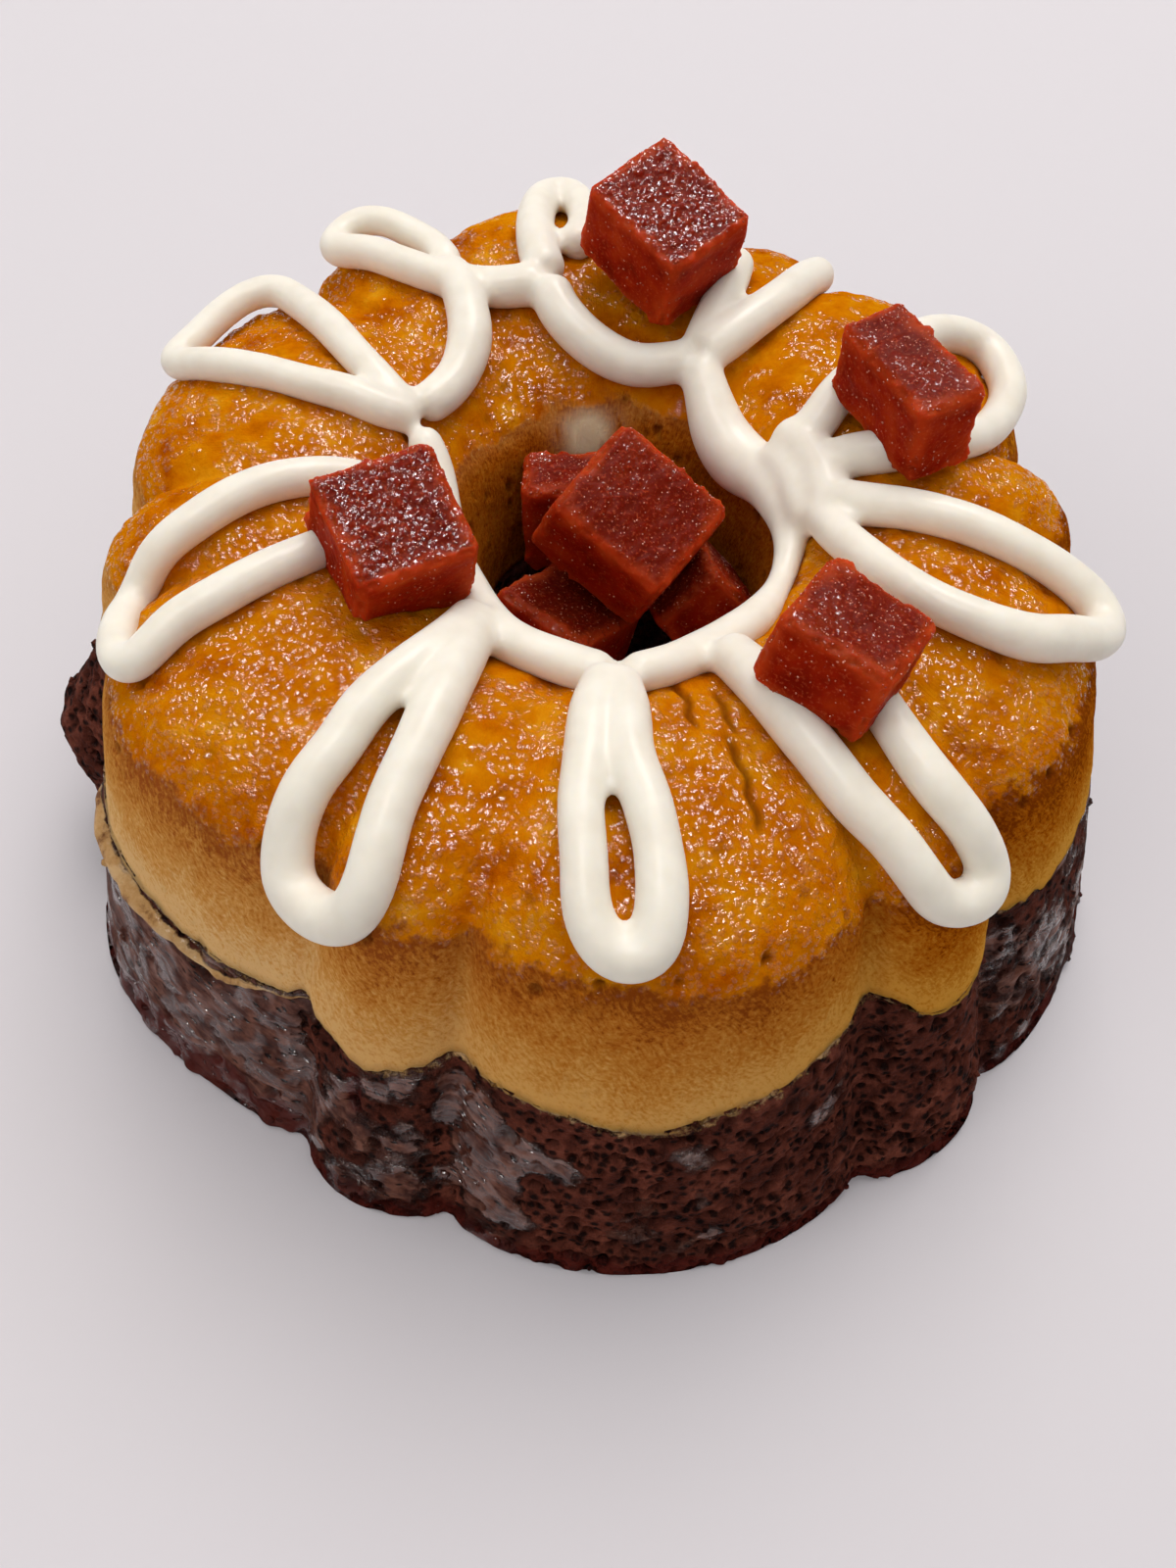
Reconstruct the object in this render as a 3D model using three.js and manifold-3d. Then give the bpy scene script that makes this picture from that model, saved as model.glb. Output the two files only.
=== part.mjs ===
// Chocoflan: a fluted ring cake, chocolate sponge below and caramel flan above,
// piped icing loops over the crown and guava paste cubes on top and in the hole.
// Millimetres, +Z up, the sponge stands on z = 0 and the front faces -Y.
import * as THREE from 'three';
import { mergeVertices } from 'three/addons/utils/BufferGeometryUtils.js';
import Module from 'manifold-3d';

const wasm = await Module();
wasm.setup();
const { Manifold, Mesh: SolidMesh } = wasm;

// ---------- driving sizes (mm, degrees) ----------
const FOOT_RADIUS = 74.9;        // lobe crest where the sponge stands
const CREASE_FOOT_RADIUS = 69.3; // crease between two lobes, same height
const WALL_DRAFT = 0.25;         // how much the wall leans in per mm of height
const CREASE_DRAFT = 0.298;      // the same along a crease
const SHOULDER_HEIGHT = 46;      // where the straight wall ends
const NARROW_LOBE_SWELL = 0.72;  // a narrow lobe stands out less than a wide one
const LAYER_GAP = 0.3;           // room between two touching pieces
const CUT_SPARE = 1.5;           // sponge built this much too high, then cut to the flan
const ROPE_RADIUS = 2.65;        // piped icing
const ROPE_LIFT = 2.0;           // rope middle above the flan
const ROPE_STEP = 3.3;           // spacing of rope sections
const ROPE_SIDES = 8;
const ICING_EASE = 0.17;         // how far the icing's facets may stray
const WIDE_LOBE_STEPS = 10;
const NARROW_LOBE_STEPS = 5;

// creases between the twelve lobes, wide and narrow by turns, and each lobe's crest
const CREASES = [-162.2, -119.5, -103, -60, -42, 0.8, 18.5, 61.2, 78.6, 120.9, 138.6, 180.9, 197.8];
const CRESTS = [-146, -112, -82.5, -51, -20, 9.5, 39.5, 70, 99.5, 130, 159.5, 189.5];

// hand-turned-out unevenness: [angle, extra radius at the foot, extra radius at the shoulder]
const UNEVEN = [
  [-150, 0, 0.8],
  [-130, -1.7, 0],
  [-110, 0, 0.4],
  [-80, 0, 0],
  [-50, -0.3, -0.8],
  [-20, -3, -4.3],
  [10, -3, -4.2],
  [40, -1.8, -3.2],
  [70, 0, 0.3],
  [100, 1, 2.8],
  [130, 1, 3.4],
  [160, 0.3, 0.6],
  [190, 0.3, 1],
  [210, 0, 0.8],
];

// crown from the shoulder over the top and down into the hole: [radius, height]
const CROWN_CREST = [[63.4, 46], [60.8, 51], [56.5, 54.3], [50, 56.3], [42, 57], [34, 56.2], [28, 54.2],
  [23, 51], [20.3, 47], [18.5, 40], [17.2, 31], [14.6, 10], [14, 0]];
const CROWN_CREASE = [[55.6, 46], [53.3, 49.6], [49.5, 52.2], [45, 53.9], [40.5, 54.9], [34, 54.7], [28.5, 53.3],
  [23.4, 50.6], [20.6, 47], [18.7, 40], [17.2, 31], [14.6, 10], [14, 0]];
const HOLE_SPLIT_ROW = 10;       // row of the hole wall where flan meets sponge

// height of the flan's lower edge along the wall: [angle, height]
const SEAM = [
  [-162, 34],
  [-148, 31.5],
  [-126, 29.5],
  [-119, 31.5],
  [-111, 27],
  [-103, 29.5],
  [-96, 30],
  [-84, 28],
  [-74, 30.5],
  [-66, 33],
  [-60, 33.5],
  [-52, 29.5],
  [-42, 31.5],
  [-20, 30],
  [1, 35],
  [10, 30],
  [19, 35],
  [40, 29],
  [61, 35],
  [70, 30],
  [79, 35],
  [100, 28.5],
  [121, 34],
  [130, 30],
  [139, 36],
  [160, 29.5],
  [181, 35],
  [190, 38],
];

// piped ropes over the flan: waypoints as [angle, distance from the middle]
const ROPES = {
  frontLoop: [[-91, 28], [-93, 38], [-93, 47], [-91, 56.3], [-87.5, 60.9], [-83.8, 57.6], [-85, 48], [-88.5, 38],
    [-90, 28]],
  lowerLeftLoop: [[-124, 26], [-122.5, 36], [-123, 46], [-123.5, 55.7], [-119, 62], [-114, 59.8], [-114.5, 49],
    [-117.5, 38], [-122, 27]],
  leftLoop: [[-170, 27], [-171, 39], [-167, 49], [-160, 56], [-154, 60], [-149.5, 58.5], [-149, 51], [-151, 42],
    [-154, 30]],
  upperLeftLoop: [[157, 27], [162, 34], [164, 43], [162.5, 52], [159.5, 59.5], [155, 63], [149, 62], [145, 56.5],
    [147, 48], [150, 40], [154, 32]],
  topLeftLoop: [[107, 35], [116, 38], [124, 40], [130, 45], [133, 52], [134, 59], [129.5, 63], [124, 62.5],
    [121.5, 57], [121, 49], [123, 41]],
  topLoop: [[107, 35], [107.5, 41], [105.5, 49], [104, 57], [102.5, 63], [99, 63.5], [97, 58], [99, 48], [103, 38]],
  topFinger: [[72, 26], [64.5, 32], [61, 40], [61.5, 48], [62, 56.5]],
  backStub: [[74, 29], [73, 36], [74, 42], [75, 47]],
  rightTopLoop: [[20, 22], [29, 27], [33, 34], [36, 43], [38, 50.5], [36, 56], [30.5, 57], [26, 55], [21.5, 48],
    [15, 40], [10, 32], [16, 24]],
  rightLoop: [[8, 22], [-2, 30], [-6, 38], [-8.5, 47], [-10.5, 54], [-14, 57.5], [-19, 55.5], [-23, 49], [-26, 40],
    [-25, 32], [-14, 23]],
  lowerRightLoop: [[-58, 24], [-61.5, 34], [-61.5, 43], [-59.5, 51], [-56, 58], [-51.5, 61], [-48.5, 59], [-49, 51],
    [-50.5, 42], [-49, 32], [-40, 23]],
  backArc: [[106, 35], [101, 28.5], [92, 26], [82, 25.3], [73, 26.5]],
  leftArc: [[123, 40], [129, 33], [136, 28.5], [146, 26.5], [158, 27]],
  holeRightArc: [[74, 30], [70, 26], [60, 22.7], [46, 21.5], [30, 21.5], [12, 21.7], [-6, 21.7], [-24, 21.5],
    [-42, 21.7], [-58, 23.5], [-74, 26], [-91, 28]],
  holeLeftArc: [[-91, 28], [-104, 27.5], [-118, 26.5], [-132, 25], [-146, 23], [-160, 22], [-174, 22.5], [173, 24],
    [163, 26], [156, 28]],
};

// guava cubes: middle [x, y, z], edge lengths, turn about z, then y, then x (degrees)
const CUBES = [
  { at: [3, 37.4, 64.9], edges: [16.5, 14.2, 12], turn: [-42, 15, 9] },
  { at: [32, 11.5, 63.7], edges: [17.5, 9, 11.2], turn: [-58, 3, 7] },
  { at: [-24.8, -14.6, 60.4], edges: [14.7, 14.3, 11.8], turn: [-59, 18, -1] },
  { at: [23, -28.2, 63.1], edges: [13.2, 12.1, 10.3], turn: [-32, 7, -5] },
  { at: [1, 1.8, 48.6], edges: [17.1, 15.8, 12], turn: [-29, 23, 11] },
  { at: [-6, 11.3, 41], edges: [13.4, 8.6, 13.5], turn: [2, -3, -4] },
  { at: [-7, -4.2, 33.3], edges: [14.3, 14.8, 12.6], turn: [-35, 2, -23] },
  { at: [11.5, 2.5, 35], edges: [14.1, 10.6, 12.4], turn: [-78, -19, 41] },
];
const CUBE_CHAMFER = 0.9;
const CUBES_ON_CROWN = 4;        // the rest are heaped in the hole

// ---------- the fluted shape ----------
const rad = (degrees) => degrees * Math.PI / 180;

// smooth reading of a table of [angle, value...] rows that closes on itself
function around(table, angle, column) {
  const first = table[0][0];
  const a = ((angle - first) % 360 + 360) % 360 + first;
  let i = table.length - 1;
  while (table[i][0] > a) i -= 1;
  const from = table[i];
  const last = i === table.length - 1;
  const to = last ? table[0] : table[i + 1];
  const end = last ? first + 360 : to[0];
  const t = (a - from[0]) / (end - from[0]);
  const ease = t * t * (3 - 2 * t);
  return from[column] + (to[column] - from[column]) * ease;
}

// 1 on a wide lobe's crest, 0 in a crease
function swell(angle) {
  const a = ((angle - CREASES[0]) % 360 + 360) % 360 + CREASES[0];
  let i = 0;
  while (i < 11 && a >= CREASES[i + 1]) i += 1;
  const crest = CRESTS[i];
  const edge = a < crest ? CREASES[i] : CREASES[i + 1];
  const t = Math.min(Math.abs((a - crest) / (edge - crest)), 1);
  const size = i % 2 === 0 ? 1 : NARROW_LOBE_SWELL;
  return size * (1 - t ** 2.1) ** 0.62;
}

// radius of the wall at a height below the shoulder
function wallRadius(angle, z) {
  const crest = FOOT_RADIUS - WALL_DRAFT * z;
  const crease = CREASE_FOOT_RADIUS - CREASE_DRAFT * z;
  const h = z / 50;
  const extra = around(UNEVEN, angle, 1) * (1 - h) + around(UNEVEN, angle, 2) * h;
  return crease + (crest - crease) * swell(angle) + extra;
}

// a row of the crown profile, pushed outwards from the food by `out`
function crownPoint(angle, row, out = 0) {
  const i = Math.floor(row);
  const j = Math.min(i + 1, CROWN_CREST.length - 1);
  const f = row - i;
  const w = swell(angle);
  const pick = (k, c) => CROWN_CREASE[k][c] + (CROWN_CREST[k][c] - CROWN_CREASE[k][c]) * w;
  const r = pick(i, 0) + (pick(j, 0) - pick(i, 0)) * f;
  const z = pick(i, 1) + (pick(j, 1) - pick(i, 1)) * f;
  const back = Math.max(i - 1, 0);
  const ahead = Math.min(i + 1, CROWN_CREST.length - 1);
  const dr = pick(ahead, 0) - pick(back, 0);
  const dz = pick(ahead, 1) - pick(back, 1);
  const length = Math.hypot(dr, dz);
  const h = Math.min(z / 50, 1.1);
  const fade = Math.min(Math.max((r - 20) / 30, 0), 1);
  const extra = around(UNEVEN, angle, 1) * (1 - h) + around(UNEVEN, angle, 2) * h;
  return [r + extra * (row <= 2 ? 1 : fade) + dz / length * out, z - dr / length * out];
}

// height of the flan's top at a place on the crown
function topHeight(angle, radius) {
  let low = 0;
  let high = 9;
  for (let n = 0; n < 40; n += 1) {
    const mid = (low + high) / 2;
    if (crownPoint(angle, mid)[0] > radius) low = mid;
    else high = mid;
  }
  return crownPoint(angle, low)[1];
}

// angles that land on every crease and spread evenly over every lobe
const ANGLES = [];
for (let i = 0; i < 12; i += 1) {
  const steps = i % 2 === 0 ? WIDE_LOBE_STEPS : NARROW_LOBE_STEPS;
  for (let k = 0; k < steps; k += 1) {
    ANGLES.push(CREASES[i] + (CREASES[i + 1] - CREASES[i]) * k / steps);
  }
}

// closed ring-shaped solid from a function giving the section outline at each angle
function ringSolid(section) {
  const outlines = ANGLES.map(section);
  const rows = outlines[0].length;
  const vertices = [];
  outlines.forEach((outline, i) => {
    const a = rad(ANGLES[i]);
    outline.forEach(([r, z]) => vertices.push(r * Math.cos(a), r * Math.sin(a), z));
  });
  const faces = [];
  for (let i = 0; i < ANGLES.length; i += 1) {
    const next = (i + 1) % ANGLES.length;
    for (let k = 0; k < rows; k += 1) {
      const k2 = (k + 1) % rows;
      const [p, q, s, t] = [i * rows + k, next * rows + k, next * rows + k2, i * rows + k2];
      faces.push(p, q, s, p, s, t);
    }
  }
  return solidOf(vertices, faces);
}

function solidOf(vertices, faces) {
  const mesh = new SolidMesh({
    numProp: 3,
    vertProperties: new Float32Array(vertices),
    triVerts: new Uint32Array(faces),
  });
  return new Manifold(mesh);
}

// ---------- flan ----------
const HOLE_SEAM = 30.5;
const seamHeight = (angle) => around(SEAM, angle, 1);

// section of the flan: up the wall, over the crown, down the hole and back along the seam
function flanSection(angle, out = 0) {
  const seam = seamHeight(angle) - out;
  const rise = SHOULDER_HEIGHT - seam;
  const points = [];
  for (const part of [0, 0.5]) {
    const z = seam + rise * part;
    points.push([wallRadius(angle, z) + out, z]);
  }
  for (let row = 0; row <= HOLE_SPLIT_ROW; row += 1) points.push(crownPoint(angle, row, out));
  const inner = HOLE_SEAM - out;
  points[points.length - 1][1] = inner;
  points.push([32, inner]);
  points.push([52, (inner + seam) / 2]);
  return points;
}
const flanSolid = ringSolid((angle) => flanSection(angle));
const flanClearance = ringSolid((angle) => flanSection(angle, LAYER_GAP));

// ---------- chocolate sponge ----------
// ragged batter lip that stands out of the wall at the far left, under the flan
const LIP_ANGLE = 170;
const LIP_HEIGHT = 21;
const LIP_REACH = 4.8;
function lip(angle, z) {
  const a = ((angle + LIP_ANGLE) % 360 + 540) % 360 - 180;
  const across = Math.exp(-((a / 8) ** 2));
  const up = Math.exp(-(((z - LIP_HEIGHT) / 9) ** 2));
  return LIP_REACH * across * up;
}

function spongeSection(angle) {
  const seam = seamHeight(angle) + CUT_SPARE;
  const inner = HOLE_SEAM + CUT_SPARE;
  const points = [];
  for (const part of [0, 0.4, 0.75, 1]) {
    const z = seam * part;
    points.push([wallRadius(angle, z) + lip(angle, z), z]);
  }
  points.push([52, (inner + seam) / 2]);
  points.push([32, inner]);
  points.push([17.2, inner]);
  points.push([14.6, 10]);
  points.push([14, 0]);
  return points;
}
const spongeSolid = ringSolid(spongeSection).subtract(flanClearance).asOriginal().simplify(0.05);

// ---------- guava cubes ----------
function cubeSolid({ at, edges, turn }, grow = 0) {
  const turned = new THREE.Euler(rad(turn[2]), rad(turn[1]), rad(turn[0]), 'ZYX');
  const place = new THREE.Matrix4().makeRotationFromEuler(turned);
  place.setPosition(new THREE.Vector3(...at));
  const half = edges.map((edge) => edge / 2 + grow);
  const points = [];
  for (const sx of [-1, 1]) {
    for (const sy of [-1, 1]) {
      for (const sz of [-1, 1]) {
        const taper = sz > 0 ? 0.97 : 1;
        for (let cut = 0; cut < 3; cut += 1) {
          const p = new THREE.Vector3(sx * half[0] * taper, sy * half[1] * taper, sz * half[2]);
          if (cut !== 0) p.x -= sx * CUBE_CHAMFER;
          if (cut !== 1) p.y -= sy * CUBE_CHAMFER;
          if (cut !== 2) p.z -= sz * CUBE_CHAMFER;
          p.applyMatrix4(place);
          points.push([p.x, p.y, p.z]);
        }
      }
    }
  }
  return Manifold.hull(points);
}

// room inside the hole, kept clear of the flan and sponge
function holePlug() {
  const profile = CROWN_CREST.slice(8).map(([r, z]) => [r - LAYER_GAP, z]);
  const top = [[profile[0][0], 90]];
  const outline = [...top, ...profile].map(([r, z]) => new THREE.Vector2(r, z));
  const lathe = [new THREE.Vector2(0, 90), ...outline, new THREE.Vector2(0, 0)].reverse();
  return fromGeometry(new THREE.LatheGeometry(lathe, 48).rotateX(Math.PI / 2));
}

function fromGeometry(geometry) {
  const clean = geometry.clone();
  clean.deleteAttribute('normal');
  clean.deleteAttribute('uv');
  const merged = mergeVertices(clean, 1e-4);
  const faces = [];
  const index = merged.index.array;
  for (let i = 0; i < index.length; i += 3) {
    const [a, b, c] = [index[i], index[i + 1], index[i + 2]];
    if (a !== b && b !== c && c !== a) faces.push(a, b, c);
  }
  return solidOf(Array.from(merged.attributes.position.array), faces);
}

const plug = holePlug();
const cubeSolids = [];
CUBES.forEach((cube, i) => {
  let solid = cubeSolid(cube);
  if (i < CUBES_ON_CROWN) solid = solid.subtract(flanClearance);
  else solid = solid.intersect(plug);
  for (let k = 0; k < i; k += 1) solid = solid.subtract(cubeSolid(CUBES[k], LAYER_GAP));
  cubeSolids.push(solid);
});

// ---------- piped icing ----------
function ropeSolid(waypoints) {
  const places = waypoints.map(([angle, radius]) => {
    const a = rad(angle);
    const z = topHeight(angle, radius) + ROPE_LIFT;
    return new THREE.Vector3(radius * Math.cos(a), radius * Math.sin(a), z);
  });
  const curve = new THREE.CatmullRomCurve3(places, false, 'centripetal');
  const count = Math.max(Math.round(curve.getLength() / ROPE_STEP), 3);
  const rings = [];
  for (let i = 0; i <= count; i += 1) {
    const u = i / count;
    const p = curve.getPointAt(u);
    const angle = Math.atan2(p.y, p.x) * 180 / Math.PI;
    p.z = topHeight(angle, Math.hypot(p.x, p.y)) + ROPE_LIFT;
    rings.push({ p, along: curve.getTangentAt(u), size: ROPE_RADIUS });
  }
  const start = rings[0];
  const end = rings[count];
  const nose = (ring, sign) => ({
    p: ring.p.clone().addScaledVector(ring.along, sign * ROPE_RADIUS * 0.75),
    along: ring.along,
    size: ROPE_RADIUS * 0.55,
  });
  rings.unshift(nose(start, -1));
  rings.push(nose(end, 1));
  const vertices = [];
  for (const { p, along, size } of rings) {
    const side = new THREE.Vector3(0, 0, 1).cross(along).normalize();
    const up = along.clone().cross(side).normalize();
    for (let k = 0; k < ROPE_SIDES; k += 1) {
      const t = (k + 0.5) * 2 * Math.PI / ROPE_SIDES;
      const v = p.clone().addScaledVector(side, size * Math.cos(t)).addScaledVector(up, size * Math.sin(t));
      vertices.push(v.x, v.y, v.z);
    }
  }
  const faces = [];
  for (let i = 0; i < rings.length - 1; i += 1) {
    for (let k = 0; k < ROPE_SIDES; k += 1) {
      const k2 = (k + 1) % ROPE_SIDES;
      const [p, q, s, t] = [i, i, i + 1, i + 1].map((ring, n) => ring * ROPE_SIDES + (n === 1 || n === 2 ? k2 : k));
      faces.push(p, q, s, p, s, t);
    }
  }
  const last = (rings.length - 1) * ROPE_SIDES;
  for (let k = 1; k < ROPE_SIDES - 1; k += 1) {
    faces.push(0, k + 1, k);
    faces.push(last, last + k, last + k + 1);
  }
  return solidOf(vertices, faces);
}

let icingSolid = Manifold.union(Object.values(ROPES).map(ropeSolid));
icingSolid = icingSolid.subtract(flanClearance);
for (let i = 0; i < CUBES.length; i += 1) icingSolid = icingSolid.subtract(cubeSolid(CUBES[i], LAYER_GAP));
icingSolid = icingSolid.asOriginal().simplify(ICING_EASE);

// ---------- the named pieces ----------
function piece(name, solid, colour, roughness) {
  const body = solid.decompose().sort((a, b) => b.volume() - a.volume())[0];
  const mesh = body.getMesh();
  const geometry = new THREE.BufferGeometry();
  geometry.setAttribute('position', new THREE.BufferAttribute(new Float32Array(mesh.vertProperties), 3));
  geometry.setIndex(new THREE.BufferAttribute(new Uint32Array(mesh.triVerts), 1));
  const part = new THREE.Mesh(geometry, new THREE.MeshStandardMaterial({ color: colour, roughness }));
  part.name = name;
  return part;
}

const group = new THREE.Group();
group.name = 'chocoflan';
group.add(piece('chocolate_sponge', spongeSolid, 0x3a2320, 0.8));
group.add(piece('flan', flanSolid, 0xc0761c, 0.35));
group.add(piece('icing', icingSolid, 0xf1ebdd, 0.4));
cubeSolids.forEach((solid, i) => group.add(piece(`guava_cube_${i + 1}`, solid, 0x7a1c14, 0.3)));

// the middle of the whole cake's box sits over the origin
const box = new THREE.Box3().setFromObject(group);
const middle = box.getCenter(new THREE.Vector3());
group.position.set(-middle.x, -middle.y, -box.min.z);

export default group;
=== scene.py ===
"""Looks of a chocoflan: sponge, caramel flan, piped icing, guava paste cubes and the stage."""

import itertools
import math

import bpy
import numpy as np
from bpy.props import FloatProperty, FloatVectorProperty, IntProperty, PointerProperty
from mathutils import Matrix, Vector


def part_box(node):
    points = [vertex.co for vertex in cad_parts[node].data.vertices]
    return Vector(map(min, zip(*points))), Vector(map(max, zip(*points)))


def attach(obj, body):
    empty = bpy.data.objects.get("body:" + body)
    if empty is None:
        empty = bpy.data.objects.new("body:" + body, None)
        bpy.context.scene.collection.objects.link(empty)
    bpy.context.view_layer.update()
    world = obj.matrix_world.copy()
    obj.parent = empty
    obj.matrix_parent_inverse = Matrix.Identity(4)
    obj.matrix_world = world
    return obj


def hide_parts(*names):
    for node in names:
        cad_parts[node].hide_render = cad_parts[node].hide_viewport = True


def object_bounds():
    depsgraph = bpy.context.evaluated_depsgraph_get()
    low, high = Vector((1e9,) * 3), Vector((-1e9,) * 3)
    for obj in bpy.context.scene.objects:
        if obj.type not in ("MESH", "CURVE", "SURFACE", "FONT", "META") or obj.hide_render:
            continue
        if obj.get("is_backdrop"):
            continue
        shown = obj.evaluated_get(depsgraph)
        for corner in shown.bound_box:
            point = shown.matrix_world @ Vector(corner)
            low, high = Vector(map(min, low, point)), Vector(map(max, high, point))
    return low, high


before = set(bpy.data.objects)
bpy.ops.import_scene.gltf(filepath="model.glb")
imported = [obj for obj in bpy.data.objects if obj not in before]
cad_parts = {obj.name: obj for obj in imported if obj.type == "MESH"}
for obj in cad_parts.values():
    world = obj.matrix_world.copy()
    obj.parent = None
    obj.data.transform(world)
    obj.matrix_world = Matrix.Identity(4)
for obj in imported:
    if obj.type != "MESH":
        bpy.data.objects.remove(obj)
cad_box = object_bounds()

bl_info = {
    "name": "Chocoflan",
    "version": (1, 0, 0),
    "blender": (4, 5, 0),
    "location": "3D View > Sidebar > Chocoflan",
    "description": "Sponge, flan, icing, guava cubes and stage of a chocoflan ring cake",
    "category": "Object",
}

MM = 0.001

# ---------- shape of the fluted cake, in mm and degrees, as its solids have it ----------
# lobes and the creases between them at the foot, and how much of its radius each loses per mm of height
FOOT_RADIUS = 74.9
CREASE_FOOT_RADIUS = 69.3
WALL_DRAFT = 0.25
CREASE_DRAFT = 0.298
# where the wall turns into the crown, a narrow lobe's depth beside a wide one's, and the seam in the hole
SHOULDER_HEIGHT = 46.0
NARROW_LOBE_SWELL = 0.72
HOLE_SEAM = 30.5
# radius at which the wall is unrolled flat
MEAN_RADIUS = 70
# how far a rope's middle lies over the flan, in rope thicknesses; a usual thickness; a rope's steps
ROPE_LIFT = 0.38
ROPE_THICKNESS = 5
ROPE_STEP = 0.9

# angles of the creases, of which the last is the first again, and of the lobes between them
CREASES = [-162.2, -119.5, -103, -60, -42, 0.8, 18.5, 61.2, 78.6, 120.9, 138.6, 180.9, 197.8]
CRESTS = [-146, -112, -82.5, -51, -20, 9.5, 39.5, 70, 99.5, 130, 159.5, 189.5]

# angle, extra radius at the foot, and at UNEVEN_TOP mm above it
UNEVEN_TOP = 50
UNEVEN = [
    (-150, 0, 0.8), (-130, -1.7, 0), (-110, 0, 0.4), (-80, 0, 0), (-50, -0.3, -0.8), (-20, -3, -4.3),
    (10, -3, -4.2), (40, -1.8, -3.2), (70, 0, 0.3), (100, 1, 2.8), (130, 1, 3.4), (160, 0.3, 0.6),
    (190, 0.3, 1), (210, 0, 0.8),
]

# radius and height of the crown's rows, from the shoulder over the top and down the hole
CROWN_CREST = [(63.4, 46), (60.8, 51), (56.5, 54.3), (50, 56.3), (42, 57), (34, 56.2), (28, 54.2),
               (23, 51), (20.3, 47), (18.5, 40), (17.2, 31), (14.6, 10), (14, 0)]
CROWN_CREASE = [(55.6, 46), (53.3, 49.6), (49.5, 52.2), (45, 53.9), (40.5, 54.9), (34, 54.7), (28.5, 53.3),
                (23.4, 50.6), (20.6, 47), (18.7, 40), (17.2, 31), (14.6, 10), (14, 0)]
# the row at which the flan ends in the hole
HOLE_SPLIT_ROW = 10

# angle and height of the flan's lower edge
SEAM = [
    (-162, 34), (-148, 31.5), (-126, 29.5), (-119, 31.5), (-111, 27), (-103, 29.5), (-96, 30), (-84, 28),
    (-74, 30.5), (-66, 33), (-60, 33.5), (-52, 29.5), (-42, 31.5), (-20, 30), (1, 35), (10, 30), (19, 35),
    (40, 29), (61, 35), (70, 30), (79, 35), (100, 28.5), (121, 34), (130, 30), (139, 36), (160, 29.5),
    (181, 35), (190, 38),
]

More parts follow.
